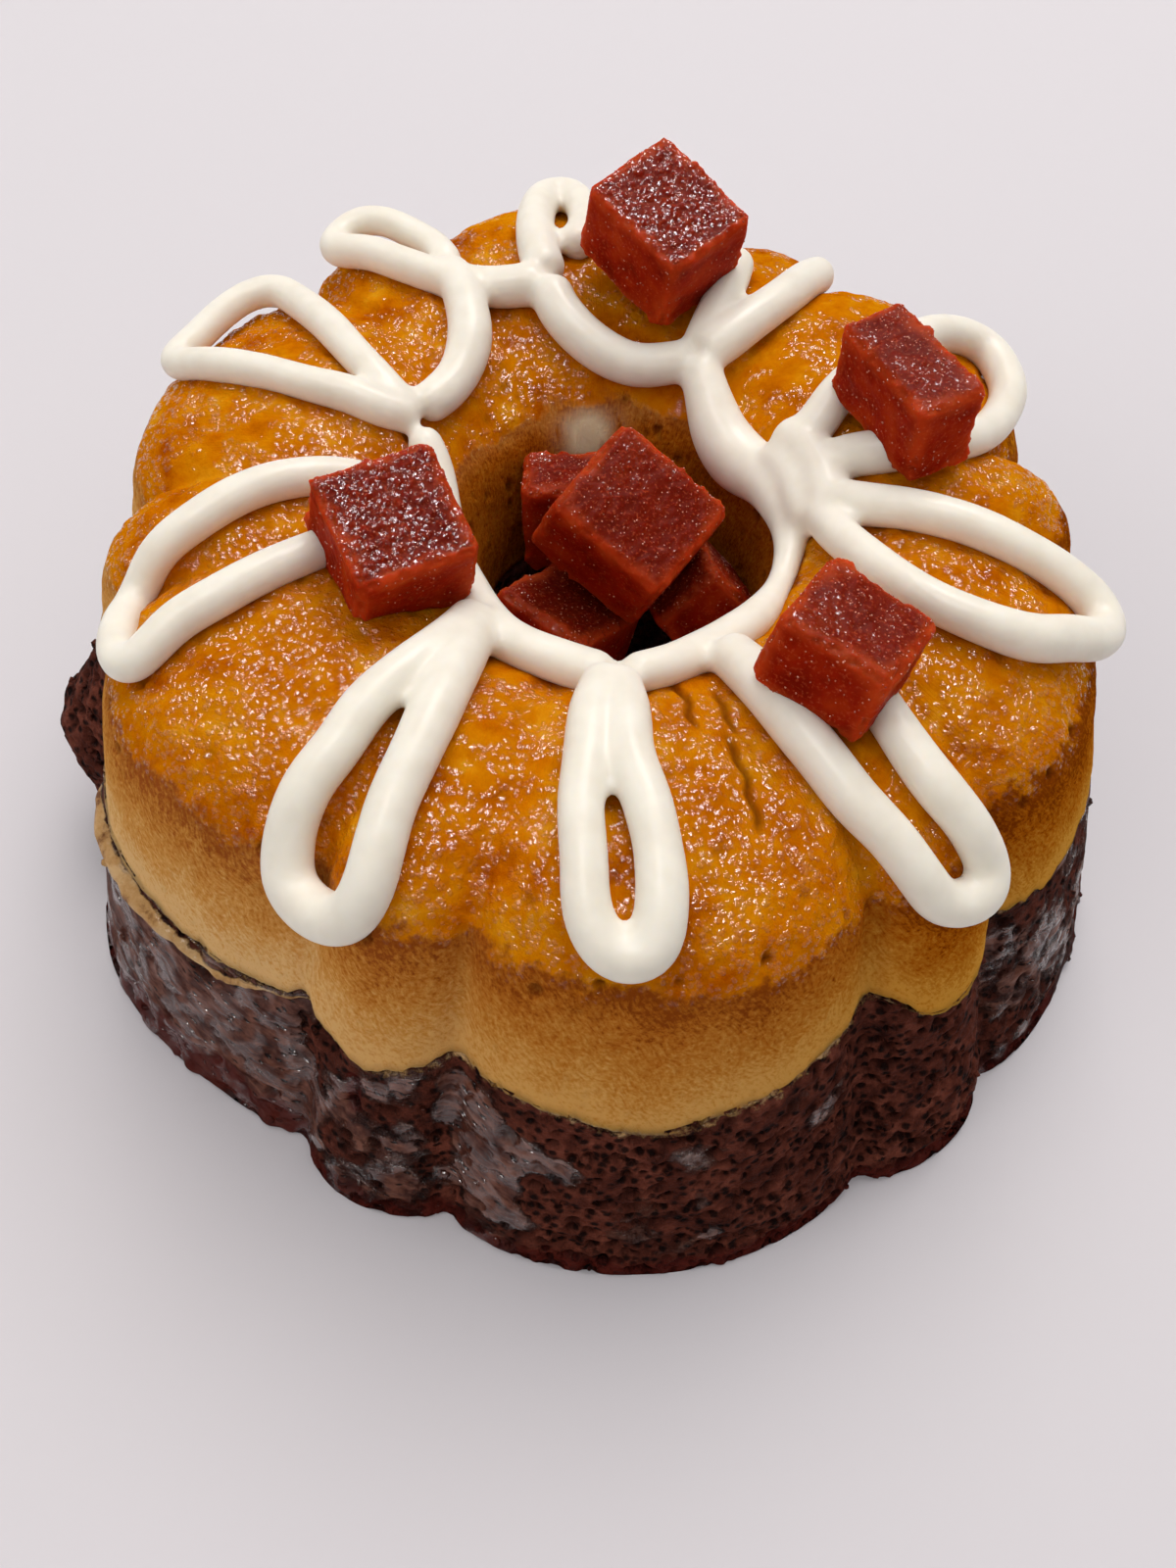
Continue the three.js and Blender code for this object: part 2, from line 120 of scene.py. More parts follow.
# piped ropes over the flan: angle, distance from the middle, thickness, and how far off the flan a rope is
ROPES = {
    "front loop": [
        (-90, 28, 5.7), (-93, 34, 5.2), (-93, 40, 5), (-93, 46, 4.8), (-92, 51, 4.8), (-91, 56.5, 4.9),
        (-89, 59.2, 5), (-87, 60, 5.1), (-85, 59.3, 5.2), (-84, 56, 5.2), (-84, 51, 5), (-85, 45.5, 5.1),
        (-87, 40, 5.1), (-87.5, 34, 5.2), (-90, 28, 5.4)],
    "lower left loop": [
        (-129, 24, 5.5), (-125, 31, 5.2), (-125, 37.5, 5.1), (-125, 43, 5.2), (-124, 48.5, 5.2),
        (-124, 53, 5.2), (-123, 57.5, 5.3), (-121, 60, 5.4), (-117, 61, 5.5), (-114, 60.8, 5.4),
        (-112.5, 58.5, 5.3), (-113, 55, 5.3), (-114, 51, 5.3), (-115, 45, 5.4), (-117, 38.5, 5.5),
        (-121, 31, 5.5), (-129, 24, 5.5)],
    "left loop": [
        (-178, 28, 4.7), (-176.5, 34, 4.7), (-173, 40.5, 4.7), (-170, 44.7, 4.7), (-167, 49, 4.6),
        (-165, 53, 4.4), (-162.5, 56.7, 4.3), (-158, 58.5, 4.3), (-152.5, 59.8, 4.4), (-149.3, 59, 4.4),
        (-149.8, 56, 4.4), (-151, 53, 4.6), (-152, 48, 4.7), (-153.5, 43.5, 4.6), (-155.5, 38.5, 4.5),
        (-159, 33, 4.5), (-165, 28, 4.5)],
    "upper left loop": [
        (157, 27, 4.8), (161.5, 31.4, 4.7), (162, 35.3, 4.7), (163, 40, 4.4), (163, 45.5, 4.3),
        (163, 51, 4.4), (162.5, 56.5, 4.2), (162, 60, 4.2, 0.5), (160, 61, 4, 1), (156.5, 60.5, 4, 1),
        (152, 60, 4, 1.5), (148, 59, 4, 1.8), (145.5, 56.5, 4.2, 1.2), (146, 52, 4.4), (148.5, 45, 4.5),
        (152, 38.6, 4.4), (155, 33.5, 4.4), (159, 28, 4.6)],
    "top left loop": [
        (108, 36.8, 5.6), (115, 37.5, 5.6), (121, 40, 5.3), (126, 43, 4.8), (129.5, 48, 4.7),
        (132, 54, 4.6, 0.5), (134.5, 58, 4.4, 1.8), (132, 60.3, 4, 2.7), (129, 60.5, 4, 3.4),
        (126.5, 58, 4, 3), (124.5, 55, 4.2, 1.5), (122.5, 51, 4.4, 0.5), (123, 45, 4.6)],
    "top loop": [
        (108, 37, 5.6), (108, 42, 5.6), (107, 48, 5.3), (105, 54, 5.1), (103, 58, 4.7), (100.5, 58.6, 4.6),
        (99, 55, 4.6), (99, 48, 4.6), (102, 42, 5)],
    "top finger": [
        (72, 27, 5.3), (68, 29, 5.6), (64, 34.5, 5.4), (62, 41.5, 5.4), (62, 50, 5.2), (61.5, 54.5, 5, 2)],
    "back stub": [
        (72, 27, 5.3), (72, 34.8, 5.1), (72, 40.4, 5), (73, 46, 5)],
    "right top loop": [
        (22, 22.5, 5.6), (19, 25.5, 5.5), (17, 28.5, 5.5), (14.5, 32, 5.4), (14.5, 39, 5), (17, 44, 4.9),
        (21, 49, 4.9), (26, 53.8, 4.9, 0.5), (30, 55.7, 4.9, 1), (34.5, 56.7, 4.8, 1), (37, 55.2, 4.8, 0.5),
        (38.5, 51.5, 4.8), (38.5, 46, 4.9), (37, 38, 5), (34.5, 31, 5.1), (31, 27, 5.2), (29, 23, 5.5)],
    "right loop": [
        (12, 22, 5.6), (6, 24.5, 5.4), (1, 28, 5.3), (-2, 32, 5.1), (-4, 35.5, 5), (-6, 40.5, 4.8),
        (-8, 46, 4.7), (-9.5, 51.5, 4.7), (-11, 55.5, 4.8, 0.5), (-14, 57, 5, 1), (-17, 56, 5.2, 0.5),
        (-20, 53, 5.4), (-24, 49, 5.3), (-26, 43, 4.9), (-26, 38, 4.7), (-24, 34, 4.6), (-19, 29.5, 4.6),
        (-9, 25.5, 4.8), (3, 23.5, 5), (12, 22.5, 5.4)],
    "lower right loop": [
        (-60, 24, 5.4), (-61, 32, 5.6), (-61, 38, 5.5), (-60, 43.5, 5.4), (-59, 48.5, 5.2), (-57.5, 53, 5),
        (-56, 57.5, 5), (-54.5, 59.7, 5.1), (-52.5, 60.7, 5.2), (-50, 61, 5.2), (-48.5, 59.7, 5.1),
        (-49, 56.5, 4.9), (-50, 52, 5), (-50, 48.3, 4.8), (-49, 43.6, 4.6), (-46, 36, 4.8), (-38, 25, 5)],
    "back arc": [
        (108, 37, 5.6), (108, 33, 5.6), (104, 28.6, 5.6), (97, 25.8, 5.7), (89, 24.7, 5.7), (80, 25.6, 5.5),
        (72, 27, 5.3)],
    "left arc": [
        (123, 46, 4.6), (125, 38.7, 5.4), (130, 32, 5.8), (137, 29, 5.4), (146, 27.7, 5.2), (156, 28, 4.9)],
    "hub": [
        (38, 23.5, 5.4), (30, 24, 6), (20, 24.5, 6.2), (9, 24.5, 5.8), (-2, 24, 4.6)],
    "hub inside": [
        (36, 21.8, 6.2), (22, 22.2, 6.4), (8, 22.2, 5.8), (-2, 22.2, 4.8)],
    "hole right arc": [
        (72, 27, 5.3), (65, 23.5, 5.8), (56, 20.9, 7.1), (44, 19.9, 7.9, 0.3), (30, 20.2, 7, 0.7),
        (13, 20.5, 5.8, 0.7), (2, 20.6, 4.6, 0.7), (-10, 20.4, 3.6, 0.7), (-22, 20.4, 3.4, 0.7),
        (-39, 21, 4.6, 0.5), (-54, 21.9, 5), (-65, 23, 4.8), (-76, 25.3, 4.6), (-88, 27.7, 4.6)],
    "hole left arc": [
        (-90, 28, 4.8), (-103, 25.6, 4.9), (-111, 25.5, 4.9), (-118, 25, 5), (-128, 23.3, 4.8),
        (-145, 20.8, 4.4, 1), (-162, 20.3, 4.2, 1.5), (-178, 21, 4.1, 1), (168, 23.2, 4.2, 0.5),
        (161, 27, 4.6)],
}

# hair cracks in the caramel: angle, inner and outer radius, depth
CRACKS = [(-75.5, 27.5, 34.5, 0.7), (-71.0, 37, 48, 0.8), (-68.5, 30, 36, 0.4)]


# ---------- small helpers ----------
def linear(hex_colour):
    """A colour written as sRGB hex, as the linear values that shaders use."""
    text = hex_colour.lstrip("#")
    values = [int(text[i:i + 2], 16) / 255 for i in (0, 2, 4)]
    return tuple(v / 12.92 if v <= 0.04045 else ((v + 0.055) / 1.055) ** 2.4 for v in values)


def rgba(colour):
    """A solid colour from hex, or from the linear values of a setting."""
    return (*(linear(colour) if isinstance(colour, str) else colour), 1.0)


def add(tree, kind, sockets=None, stops=(), **settings):
    """One node with its settings, what its sockets hold, and a colour ramp's stops by place and colour.

    A socket is given a value, a hex colour, another node's output, or a node whose first output counts.
    """
    made = tree.nodes.new(kind)
    for name, value in settings.items():
        setattr(made, name, value)
    for key, value in (sockets or {}).items():
        if isinstance(value, bpy.types.Node):
            value = next(output for output in value.outputs if output.enabled)
        if isinstance(value, bpy.types.NodeSocket):
            tree.links.new(value, made.inputs[key])
        elif isinstance(value, str) and value.startswith("#"):
            made.inputs[key].default_value = rgba(value)
        else:
            made.inputs[key].default_value = value
    if stops:
        elements = made.color_ramp.elements
        while len(elements) < len(stops):
            elements.new(0.5)
        for element, (place, colour) in zip(elements, stops):
            element.position = place
            element.color = rgba(colour)
    return made


def smoothstep(low, high, values):
    t = np.clip((values - low) / (high - low), 0, 1)
    return t * t * (3 - 2 * t)


def drift(points, size, seed, octaves=3):
    """Smooth noise from about -1 to 1 whose swells are `size` mm across."""
    rng = np.random.default_rng(seed)
    total = np.zeros(len(points))
    weight = 1.0
    reach = 0.0
    for _ in range(octaves):
        table = rng.uniform(-1, 1, (32, 32, 32))
        q = points / size + 64
        cell = np.floor(q).astype(int)
        f = q - cell
        f = f * f * (3 - 2 * f)
        for corner in itertools.product((0, 1), repeat=3):
            share = np.prod(np.where(np.array(corner) == 1, f, 1 - f), axis=1)
            i = (cell + corner) % 32
            total += weight * share * table[i[:, 0], i[:, 1], i[:, 2]]
        reach += weight
        size *= 0.5
        weight *= 0.5
    return total / reach * 1.5


def bubbles(points, size, seed):
    """Distance to the nearest of scattered spots, in units of `size` mm."""
    table = np.random.default_rng(seed).random((24, 24, 24, 3))
    q = points / size + 48
    cell = np.floor(q).astype(int)
    near = np.full(len(points), 9.0)
    for step in itertools.product((-1, 0, 1), repeat=3):
        there = cell + step
        i = there % 24
        near = np.minimum(near, np.linalg.norm(q - there - table[i[:, 0], i[:, 1], i[:, 2]], axis=1))
    return near


def write_attribute(mesh, name, values):
    attribute = mesh.attributes.new(name, "FLOAT", "POINT")
    attribute.data.foreach_set("value", np.ascontiguousarray(values, np.float32))


def mesh_from(name, points, faces):
    """A smooth-shaded mesh from points in metres and faces of one size."""
    mesh = bpy.data.meshes.new(name)
    sides = faces.shape[1]
    mesh.vertices.add(len(points))
    mesh.vertices.foreach_set("co", np.ascontiguousarray(points, np.float32).ravel())
    mesh.loops.add(faces.size)
    mesh.loops.foreach_set("vertex_index", np.ascontiguousarray(faces, np.int32).ravel())
    mesh.polygons.add(len(faces))
    mesh.polygons.foreach_set("loop_start", np.arange(0, faces.size, sides, dtype=np.int32))
    mesh.update(calc_edges=True)
    mesh.shade_smooth()
    mesh.validate()
    return mesh


def show(name, mesh):
    thing = bpy.data.objects.new(name, mesh)
    bpy.context.scene.collection.objects.link(thing)
    return thing


def triples(items, name):
    """A triple that each of a mesh's items has, such as a vertex's `co`, as an array."""
    values = np.empty(len(items) * 3, np.float32)
    items.foreach_get(name, values)
    return values.reshape(-1, 3).astype(float)


def apply_modifiers(thing):
    """Replaces an object's mesh by its evaluated one and removes its modifiers."""
    bpy.context.view_layer.update()
    depsgraph = bpy.context.evaluated_depsgraph_get()
    mesh = bpy.data.meshes.new_from_object(thing.evaluated_get(depsgraph))
    thing.modifiers.clear()
    thing.data = mesh
    mesh.name = thing.name
    mesh.shade_smooth()


def settle(thing, slot, *nodes):
    """Puts a finished piece on the cake's one body, in the place of its solids."""
    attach(thing, "root")
    if nodes:
        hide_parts(*nodes)


# ---------- the fluted surface ----------
def around(table, angle, column):
    """Smooth reading of a table of rows by angle that closes on itself."""
    rows = np.array(table, float)
    marks = np.append(rows[:, 0], rows[0, 0] + 360)
    values = np.append(rows[:, column], rows[0, column])
    a = (angle - marks[0]) % 360 + marks[0]
    i = np.clip(np.searchsorted(marks, a, side="right") - 1, 0, len(rows) - 1)
    t = (a - marks[i]) / (marks[i + 1] - marks[i])
    return values[i] + (values[i + 1] - values[i]) * t * t * (3 - 2 * t)


def sharp_swell(angle):
    """1 on a wide lobe's crest, less on a narrow one's, and 0 in a crease."""
    marks = np.array(CREASES)
    a = (angle - marks[0]) % 360 + marks[0]
    i = np.clip(np.searchsorted(marks, a, side="right") - 1, 0, 11)
    crest = np.array(CRESTS)[i]
    edge = np.where(a < crest, marks[i], marks[i + 1])
    t = np.clip(np.abs((a - crest) / (edge - crest)), 0, 1)
    return np.where(i % 2 == 0, 1, NARROW_LOBE_SWELL) * (1 - t ** 2.1) ** 0.62


def swell(angle):
    """1 on a wide lobe's crest and 0 in a crease, with the crease's bottom rounded."""
    return sum(sharp_swell(angle + step) for step in (-0.9, -0.3, 0.3, 0.9)) / 4


def extra_radius(angle, height):
    h = height / UNEVEN_TOP
    return around(UNEVEN, angle, 1) * (1 - h) + around(UNEVEN, angle, 2) * h


def angle_gap(angle, middle):
    """Degrees from `middle` to `angle`, the short way round."""
    return (angle - middle + 180) % 360 - 180


def facing(angle, middle):
    """1 where the cake faces the way of `middle`, and -1 on its far side."""
    return np.cos(np.radians(angle - middle))


def window(angle, start, end, soft):
    """1 between two angles and 0 outside them, turning over `soft` degrees to either side of each."""
    half = (end - start) / 2
    return smoothstep(half + soft, half - soft, np.abs(angle_gap(angle, (start + end) / 2)))


def mound(angle, height, middle, half_width, level, half_height):
    """1 at a spot on the wall, falling off round it over so many degrees and mm."""
    sideways = angle_gap(angle, middle) / half_width
    return np.exp(-sideways ** 2) * np.exp(-((height - level) / half_height) ** 2)


def wall_radius(angle, z):
    crest = FOOT_RADIUS - WALL_DRAFT * z
    crease = CREASE_FOOT_RADIUS - CREASE_DRAFT * z
    # the crease left of the front is partly filled at the seam
    filled = 1.6 * mound(angle, z, -119.5, 3.5, 30, 9)
    return crease + (crest - crease) * swell(angle) + extra_radius(angle, z) + filled


def row_reading(table, row):
    """Smooth reading of the crown's rows, whose first row runs on from the wall below."""
    rows = np.array(table, float)
    before = rows[0] + np.array([(rows[0, 0] - rows[1, 0]) * 0.35, -6])
    rows = np.vstack([before, rows, 2 * rows[-1] - rows[-2]])
    i = np.clip(np.floor(row).astype(int), 0, len(table) - 2) + 1
    t = (row - (i - 1))[..., None]
    a, b, c, d = rows[i - 1], rows[i], rows[i + 1], rows[i + 2]
    bend, twist = 2 * a - 5 * b + 4 * c - d, 3 * b - a - 3 * c + d
    return 0.5 * (2 * b + (c - a) * t + bend * t ** 2 + twist * t ** 3)


def crown_point(angle, row):
    """Radius and height of a row of the crown."""
    w = swell(angle)[..., None]
    place = row_reading(CROWN_CREASE, row) * (1 - w) + row_reading(CROWN_CREST, row) * w
    r, z = place[..., 0], place[..., 1]
    # the hole is round: what is uneven outside fades towards it
    fade = np.where(row <= 2, 1, np.clip((r - 20) / 30, 0, 1))
    return r + extra_radius(angle, np.minimum(z, 1.1 * UNEVEN_TOP)) * fade, z


def top_height(angle, radius):
    """Height of the crown at a distance from the middle, found by halving between two of its rows."""
    low = np.zeros_like(angle)
    high = np.full_like(angle, HOLE_SPLIT_ROW - 1.0)
    for _ in range(30):
        mid = (low + high) / 2
        outside = crown_point(angle, mid)[0] > radius
        low = np.where(outside, mid, low)
        high = np.where(outside, high, mid)
    return crown_point(angle, low)[1]


def find_middle():
    """Where the cake's own axis stands in the frame: the foot's box set over the sponge's box."""
    angle = np.arange(0, 360, 0.25)
    r = wall_radius(angle, np.zeros_like(angle))
    x, y = r * np.cos(np.radians(angle)), r * np.sin(np.radians(angle))
    low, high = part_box("chocolate_sponge")
    # the batter lip stands out at one side only, so x is set by the far side and y by both
    right = high.x / MM - x.max()
    middle = (low.y + high.y) / 2 / MM - (y.max() + y.min()) / 2
    return np.array([right, middle, 0.0])


MIDDLE = find_middle()


def ring_faces(columns, rows):
    """Quads of a ring whose outline is closed, facing outwards."""
    i, k = np.meshgrid(np.arange(columns), np.arange(rows), indexing="ij")
    ahead, above = (i + 1) % columns, (k + 1) % rows
    corners = [i * rows + k, ahead * rows + k, ahead * rows + above, i * rows + above]
    return np.stack(corners, -1).reshape(-1, 4)


def front_heavy(columns):
    """Angles of a ring's columns, from -25 to 335, which stand closer together round the cake's front."""
    turn = np.linspace(0, 360, columns, endpoint=False)
    return turn - 25 * np.cos(np.radians(turn))


def lay_out_wall(mesh, angle, height):
    """Writes a UV map that unrolls the ring: way round the cake and height, in metres."""
    columns, rows = height.shape
    i, k = np.meshgrid(np.arange(columns), np.arange(rows), indexing="ij")
    ahead, above = (i + 1) % columns, (k + 1) % rows
    turn = np.append(angle, angle[0] + 360)
    u = np.stack([turn[i], turn[i + 1], turn[i + 1], turn[i]], -1)
    v = np.stack([height[i, k], height[ahead, k], height[ahead, above], height[i, above]], -1)
    uv = np.stack([np.radians(u) * MEAN_RADIUS, v], -1) * MM
    mesh.uv_layers.new(name="Unrolled").data.foreach_set("uv", uv.astype(np.float32).ravel())


def ring_places(angle, r, z):
    a = np.radians(angle)
    return np.stack([r * np.cos(a), r * np.sin(a), z], -1)


def ring_normals(places):
    """Outward normals of a grid of places, angle by row."""
    along = np.roll(places, -1, 0) - np.roll(places, 1, 0)
    up = np.roll(places, -1, 1) - np.roll(places, 1, 1)
    n = np.cross(along, up)
    return n / np.maximum(np.linalg.norm(n, axis=-1, keepdims=True), 1e-9)


class Ring:
    """A closed ring of points in mm, row by row in each column, and the angle, radius and height of each."""

    def __init__(self, angle, seam, rows):
        radii, heights = (np.stack([part + 0 * angle for part in parts], 1) for parts in zip(*rows))
        places = ring_places(angle[:, None], radii, heights)
        self.places, self.outward = places.reshape(-1, 3), ring_normals(places).reshape(-1, 3)
        self.radius, self.height = radii.ravel(), heights.ravel()
        self.theta, self.seam = (np.repeat(values, radii.shape[1]) for values in (angle, seam))
        self.row = np.tile(np.arange(radii.shape[1]), len(angle))
        self.columns, self.grid = angle, heights

    def mesh(self, name, push, material, **values):
        """The finished mesh, pushed out by so many mm, with the values that its material reads."""
        points = self.places + self.outward * push[:, None]
        points[:, 2] = np.maximum(points[:, 2], 0)
        mesh = mesh_from(name, (points + MIDDLE) * MM, ring_faces(*self.grid.shape))
        lay_out_wall(mesh, self.columns, self.grid)
        for key, value in values.items():
            write_attribute(mesh, key, value)
        mesh.materials.append(material)
        return mesh


def seam_height(angle):
    """The flan's lower edge, which hangs 2.3 mm lower over the slit left of the front."""
    return around(SEAM, angle, 1) - 2.3 * window(angle, -150, -118, 4)


# ---------- sizes and colours a user may change ----------
class SpongeSettings(bpy.types.PropertyGroup):
    pore_depth: FloatProperty(
        name="Pore depth", description="How deep the open crumb's pores go", default=0.9 * MM, unit="LENGTH")
    crumbs: IntProperty(name="Crumbs", description="Loose crumbs on the wall and foot", default=900, min=0)
    crumb_colour: FloatVectorProperty(
        name="Crumb colour", description="Dry chocolate crumb", default=linear("#582A1E"), subtype="COLOR")
    syrup_colour: FloatVectorProperty(
        name="Soaked colour", description="Crumb soaked with caramel syrup", default=linear("#4A251A"),
        subtype="COLOR")


class FlanSettings(bpy.types.PropertyGroup):
    pebble_height: FloatProperty(
        name="Pebble height", description="Height of the caramel crown's pebbled skin", default=0.22 * MM,
        unit="LENGTH")
    custard_colour: FloatVectorProperty(
        name="Custard", description="Set custard at the foot of the wall", default=linear("#E0B478"),
        subtype="COLOR")
    caramel_colour: FloatVectorProperty(
        name="Caramel", description="Caramel on the crown", default=linear("#C06A02"), subtype="COLOR")


class IcingSettings(bpy.types.PropertyGroup):
    rope_radius: FloatProperty(
        name="Rope radius", description="Half the thickness of the piped rope", default=2.5 * MM,
        unit="LENGTH")
    fillet: FloatProperty(
        name="Fillet", description="How far ropes melt into each other where they meet",
        default=0.15 * MM, unit="LENGTH")
    colour: FloatVectorProperty(
        name="Icing", description="Cream-white icing", default=linear("#F3EEE0"), subtype="COLOR")


class GuavaSettings(bpy.types.PropertyGroup):
    roughness_height: FloatProperty(
        name="Grain height", description="Height of the grain on a cube's top", default=0.22 * MM,
        unit="LENGTH")
    grains: IntProperty(name="Grains", description="Sugar grains on each cube", default=1100, min=0)
    colour: FloatVectorProperty(
        name="Guava paste", description="Deep red paste", default=linear("#941E06"), subtype="COLOR")


class StageSettings(bpy.types.PropertyGroup):
    floor_colour: FloatVectorProperty(
        name="Floor", description="Plain pale floor", default=linear("#DAD7DA"), subtype="COLOR")
    lens: FloatProperty(name="Lens", description="Focal length", default=31.14 * MM, unit="CAMERA")


# ---------- materials ----------
def new_material(name, *attributes):
    """An empty material, its tree, its patterns' coordinates, and the mesh's values that it reads."""
    material = bpy.data.materials.new(name)
    material.use_nodes = True
    tree = material.node_tree
    tree.nodes.clear()
    coords = add(tree, "ShaderNodeTexCoord").outputs["Object"]
    values = [add(tree, "ShaderNodeAttribute", attribute_name=attribute).outputs["Fac"]
              for attribute in attributes]
    return material, tree, coords, *values


def finish_surface(material, sockets):
    """Ends a material in its one shader, which holds what `sockets` says."""
    shader = add(material.node_tree, "ShaderNodeBsdfPrincipled", sockets)
    add(material.node_tree, "ShaderNodeOutputMaterial", {"Surface": shader})
    return material


def layered(tree, colour, *layers):
    """A colour with other colours laid over it in turn, each as far as its factor says."""
    for factor, tint in layers:
        colour = add(tree, "ShaderNodeMix", {"Factor": factor, "A": colour, "B": tint}, data_type="RGBA")
    return colour


def syrup_beads(tree, coords, size):
    """Domes of syrup about `size` metres across, 0 between them and 1 on top, with wandering outlines."""
    bend = add(tree, "ShaderNodeTexNoise", {"Vector": coords, "Scale": 1.6 / size, "Detail": 2.0})
    bent = add(tree, "ShaderNodeVectorMath", {0: bend.outputs["Color"], 1: (size * 0.9,) * 3, 2: coords},
               operation="MULTIPLY_ADD")
    cells = add(tree, "ShaderNodeTexVoronoi", {"Vector": bent, "Scale": 1 / size}, feature="F1")
    return add(tree, "ShaderNodeMapRange", {"Value": cells, "From Min": 0.62, "From Max": 0.12},
               interpolation_type="SMOOTHSTEP")


def custard_material(settings):
    """Egg custard baked in a water bath under a skin of caramel.

    The wall is a dense, slightly waxy cream tan with the fine brushed grain that the tin leaves, and it
    browns upwards; the crown is wet caramel over a pebbled skin that breaks every light into small sparks.
    """
    material, tree, coords, edge, rise, pit, cream, pebbly, golden = new_material(
        "Baked custard under caramel", "edge", "rise", "pit", "cream", "pebbly", "golden")

    # brushed grain: dashes 0.4 mm wide and 1.3 mm long that lean and wander, broken up by a fine speckle
    unrolled = add(tree, "ShaderNodeTexCoord").outputs["UV"]
    bend = add(tree, "ShaderNodeTexNoise", {"Vector": unrolled, "Scale": 1 / (6 * MM), "Detail": 2.0})
    lean = add(tree, "ShaderNodeVectorMath", {
        0: bend.outputs["Color"], 1: (4 * MM, 4 * MM, 0.0), 2: unrolled}, operation="MULTIPLY_ADD")
    lay = add(tree, "ShaderNodeMapping", {
        "Vector": lean, "Rotation": (0.0, 0.0, math.radians(-52)), "Scale": (1.3 * MM, 0.42 * MM, 1.0),
    }, vector_type="TEXTURE")
    dashes = add(tree, "ShaderNodeTexNoise", {"Vector": lay, "Scale": 1.0, "Detail": 3.0, "Roughness": 0.6})
    speckle = add(tree, "ShaderNodeTexNoise", {
        "Vector": coords, "Scale": 1 / (0.5 * MM), "Detail": 3.0, "Roughness": 0.6})
    fibre = add(tree, "ShaderNodeMix", {"Factor": 0.5, "A": dashes, "B": speckle}, data_type="FLOAT")
    blotch = add(tree, "ShaderNodeTexNoise", {
        "Vector": coords, "Scale": 1 / (5 * MM), "Detail": 5.0, "Roughness": 0.6})

    # wall: pale at the foot, browner towards the shoulder, and deeper at the front and right as painted
    # shade; down the hole the deeper colour is partly painted shade
    shift = add(tree, "ShaderNodeMath", {0: blotch, 1: 0.7, 2: rise}, operation="MULTIPLY_ADD")
    shift = add(tree, "ShaderNodeMath", {0: fibre, 1: -2.1, 2: shift}, operation="MULTIPLY_ADD")
    shift = add(tree, "ShaderNodeMath", {0: shift, 1: 0.6}, operation="ADD")
    dull = add(tree, "ShaderNodeValToRGB", {"Fac": shift}, stops=(
        (0.0, settings.custard_colour), (0.35, "#D0964E"), (0.68, "#BC7830"), (0.95, "#985020")))
    deep = add(tree, "ShaderNodeValToRGB", {"Fac": shift}, stops=(
        (0.0, "#CE9238"), (0.35, "#BA7620"), (0.68, "#A6580A"), (0.95, "#7C3804")))
    # painted shade: a darker brown band along the seam where the flan meets the sponge
    low = add(tree, "ShaderNodeMapRange", {
        "Value": rise, "From Min": 0.09, "From Max": 0.0, "To Min": 0.0, "To Max": 0.45})
    wall = layered(tree, dull, (golden, deep), (low, "#7C4A1C"))

    # crown: amber with darker and lighter drifts 7 mm across, and a ragged lower edge over a browner line
    drifts = add(tree, "ShaderNodeTexNoise", {
        "Vector": coords, "Scale": 1 / (7 * MM), "Detail": 6.0, "Roughness": 0.66})
    amber = add(tree, "ShaderNodeValToRGB", {"Fac": drifts}, stops=(
        (0.32, "#A04800"), (0.46, settings.caramel_colour), (0.57, "#CA7A04"), (0.7, "#D89214")))
    frays = add(tree, "ShaderNodeTexNoise", {
        "Vector": coords, "Scale": 1 / (2.2 * MM), "Detail": 5.0, "Roughness": 0.65})
    ragged = add(tree, "ShaderNodeMath", {0: frays, 1: 5.0, 2: edge}, operation="MULTIPLY_ADD")
    caramel = add(tree, "ShaderNodeMapRange", {"Value": ragged, "From Min": 1.7, "From Max": 3.3},
                  interpolation_type="SMOOTHSTEP")
    brown = add(tree, "ShaderNodeMapRange", {
        "Value": ragged, "From Min": -0.6, "From Max": 1.9, "To Max": 0.36}, interpolation_type="SMOOTHSTEP")
    brown = add(tree, "ShaderNodeMath", {0: brown, 1: caramel}, operation="SUBTRACT", use_clamp=True)
    # pits, pinholes and cracks are painted dark brown as shade in the hollows
    colour = layered(tree, wall, (caramel, amber), (brown, "#8A4208"), (pit, "#5B2508"), (cream, "#E3D2AE"))

    # weeping syrup: wet beads crowd together in patches on the crown and leave the rest of it dull
    crowd = add(tree, "ShaderNodeTexNoise", {"Vector": coords, "Scale": 1 / (3.6 * MM), "Detail": 3.0})
    crowd = add(tree, "ShaderNodeMath", {0: pebbly, 1: 0.2, 2: crowd}, operation="MULTIPLY_ADD")
    crowd = add(tree, "ShaderNodeMapRange", {"Value": crowd, "From Min": 0.47, "From Max": 0.56},
                interpolation_type="SMOOTHSTEP")
    above = add(tree, "ShaderNodeMapRange", {"Value": edge, "From Min": -2.0, "From Max": 1.5})
    dry = add(tree, "ShaderNodeMath", {0: pit, 1: 1.6}, operation="MULTIPLY")
    crown = add(tree, "ShaderNodeMath", {0: above, 1: dry}, operation="SUBTRACT", use_clamp=True)
    beads = syrup_beads(tree, coords, 0.75 * MM)
    for share in (crowd, crown):
        beads = add(tree, "ShaderNodeMath", {0: beads, 1: share}, operation="MULTIPLY")
    wet = add(tree, "ShaderNodeMapRange", {"Value": beads, "From Min": 0.1, "From Max": 0.35})
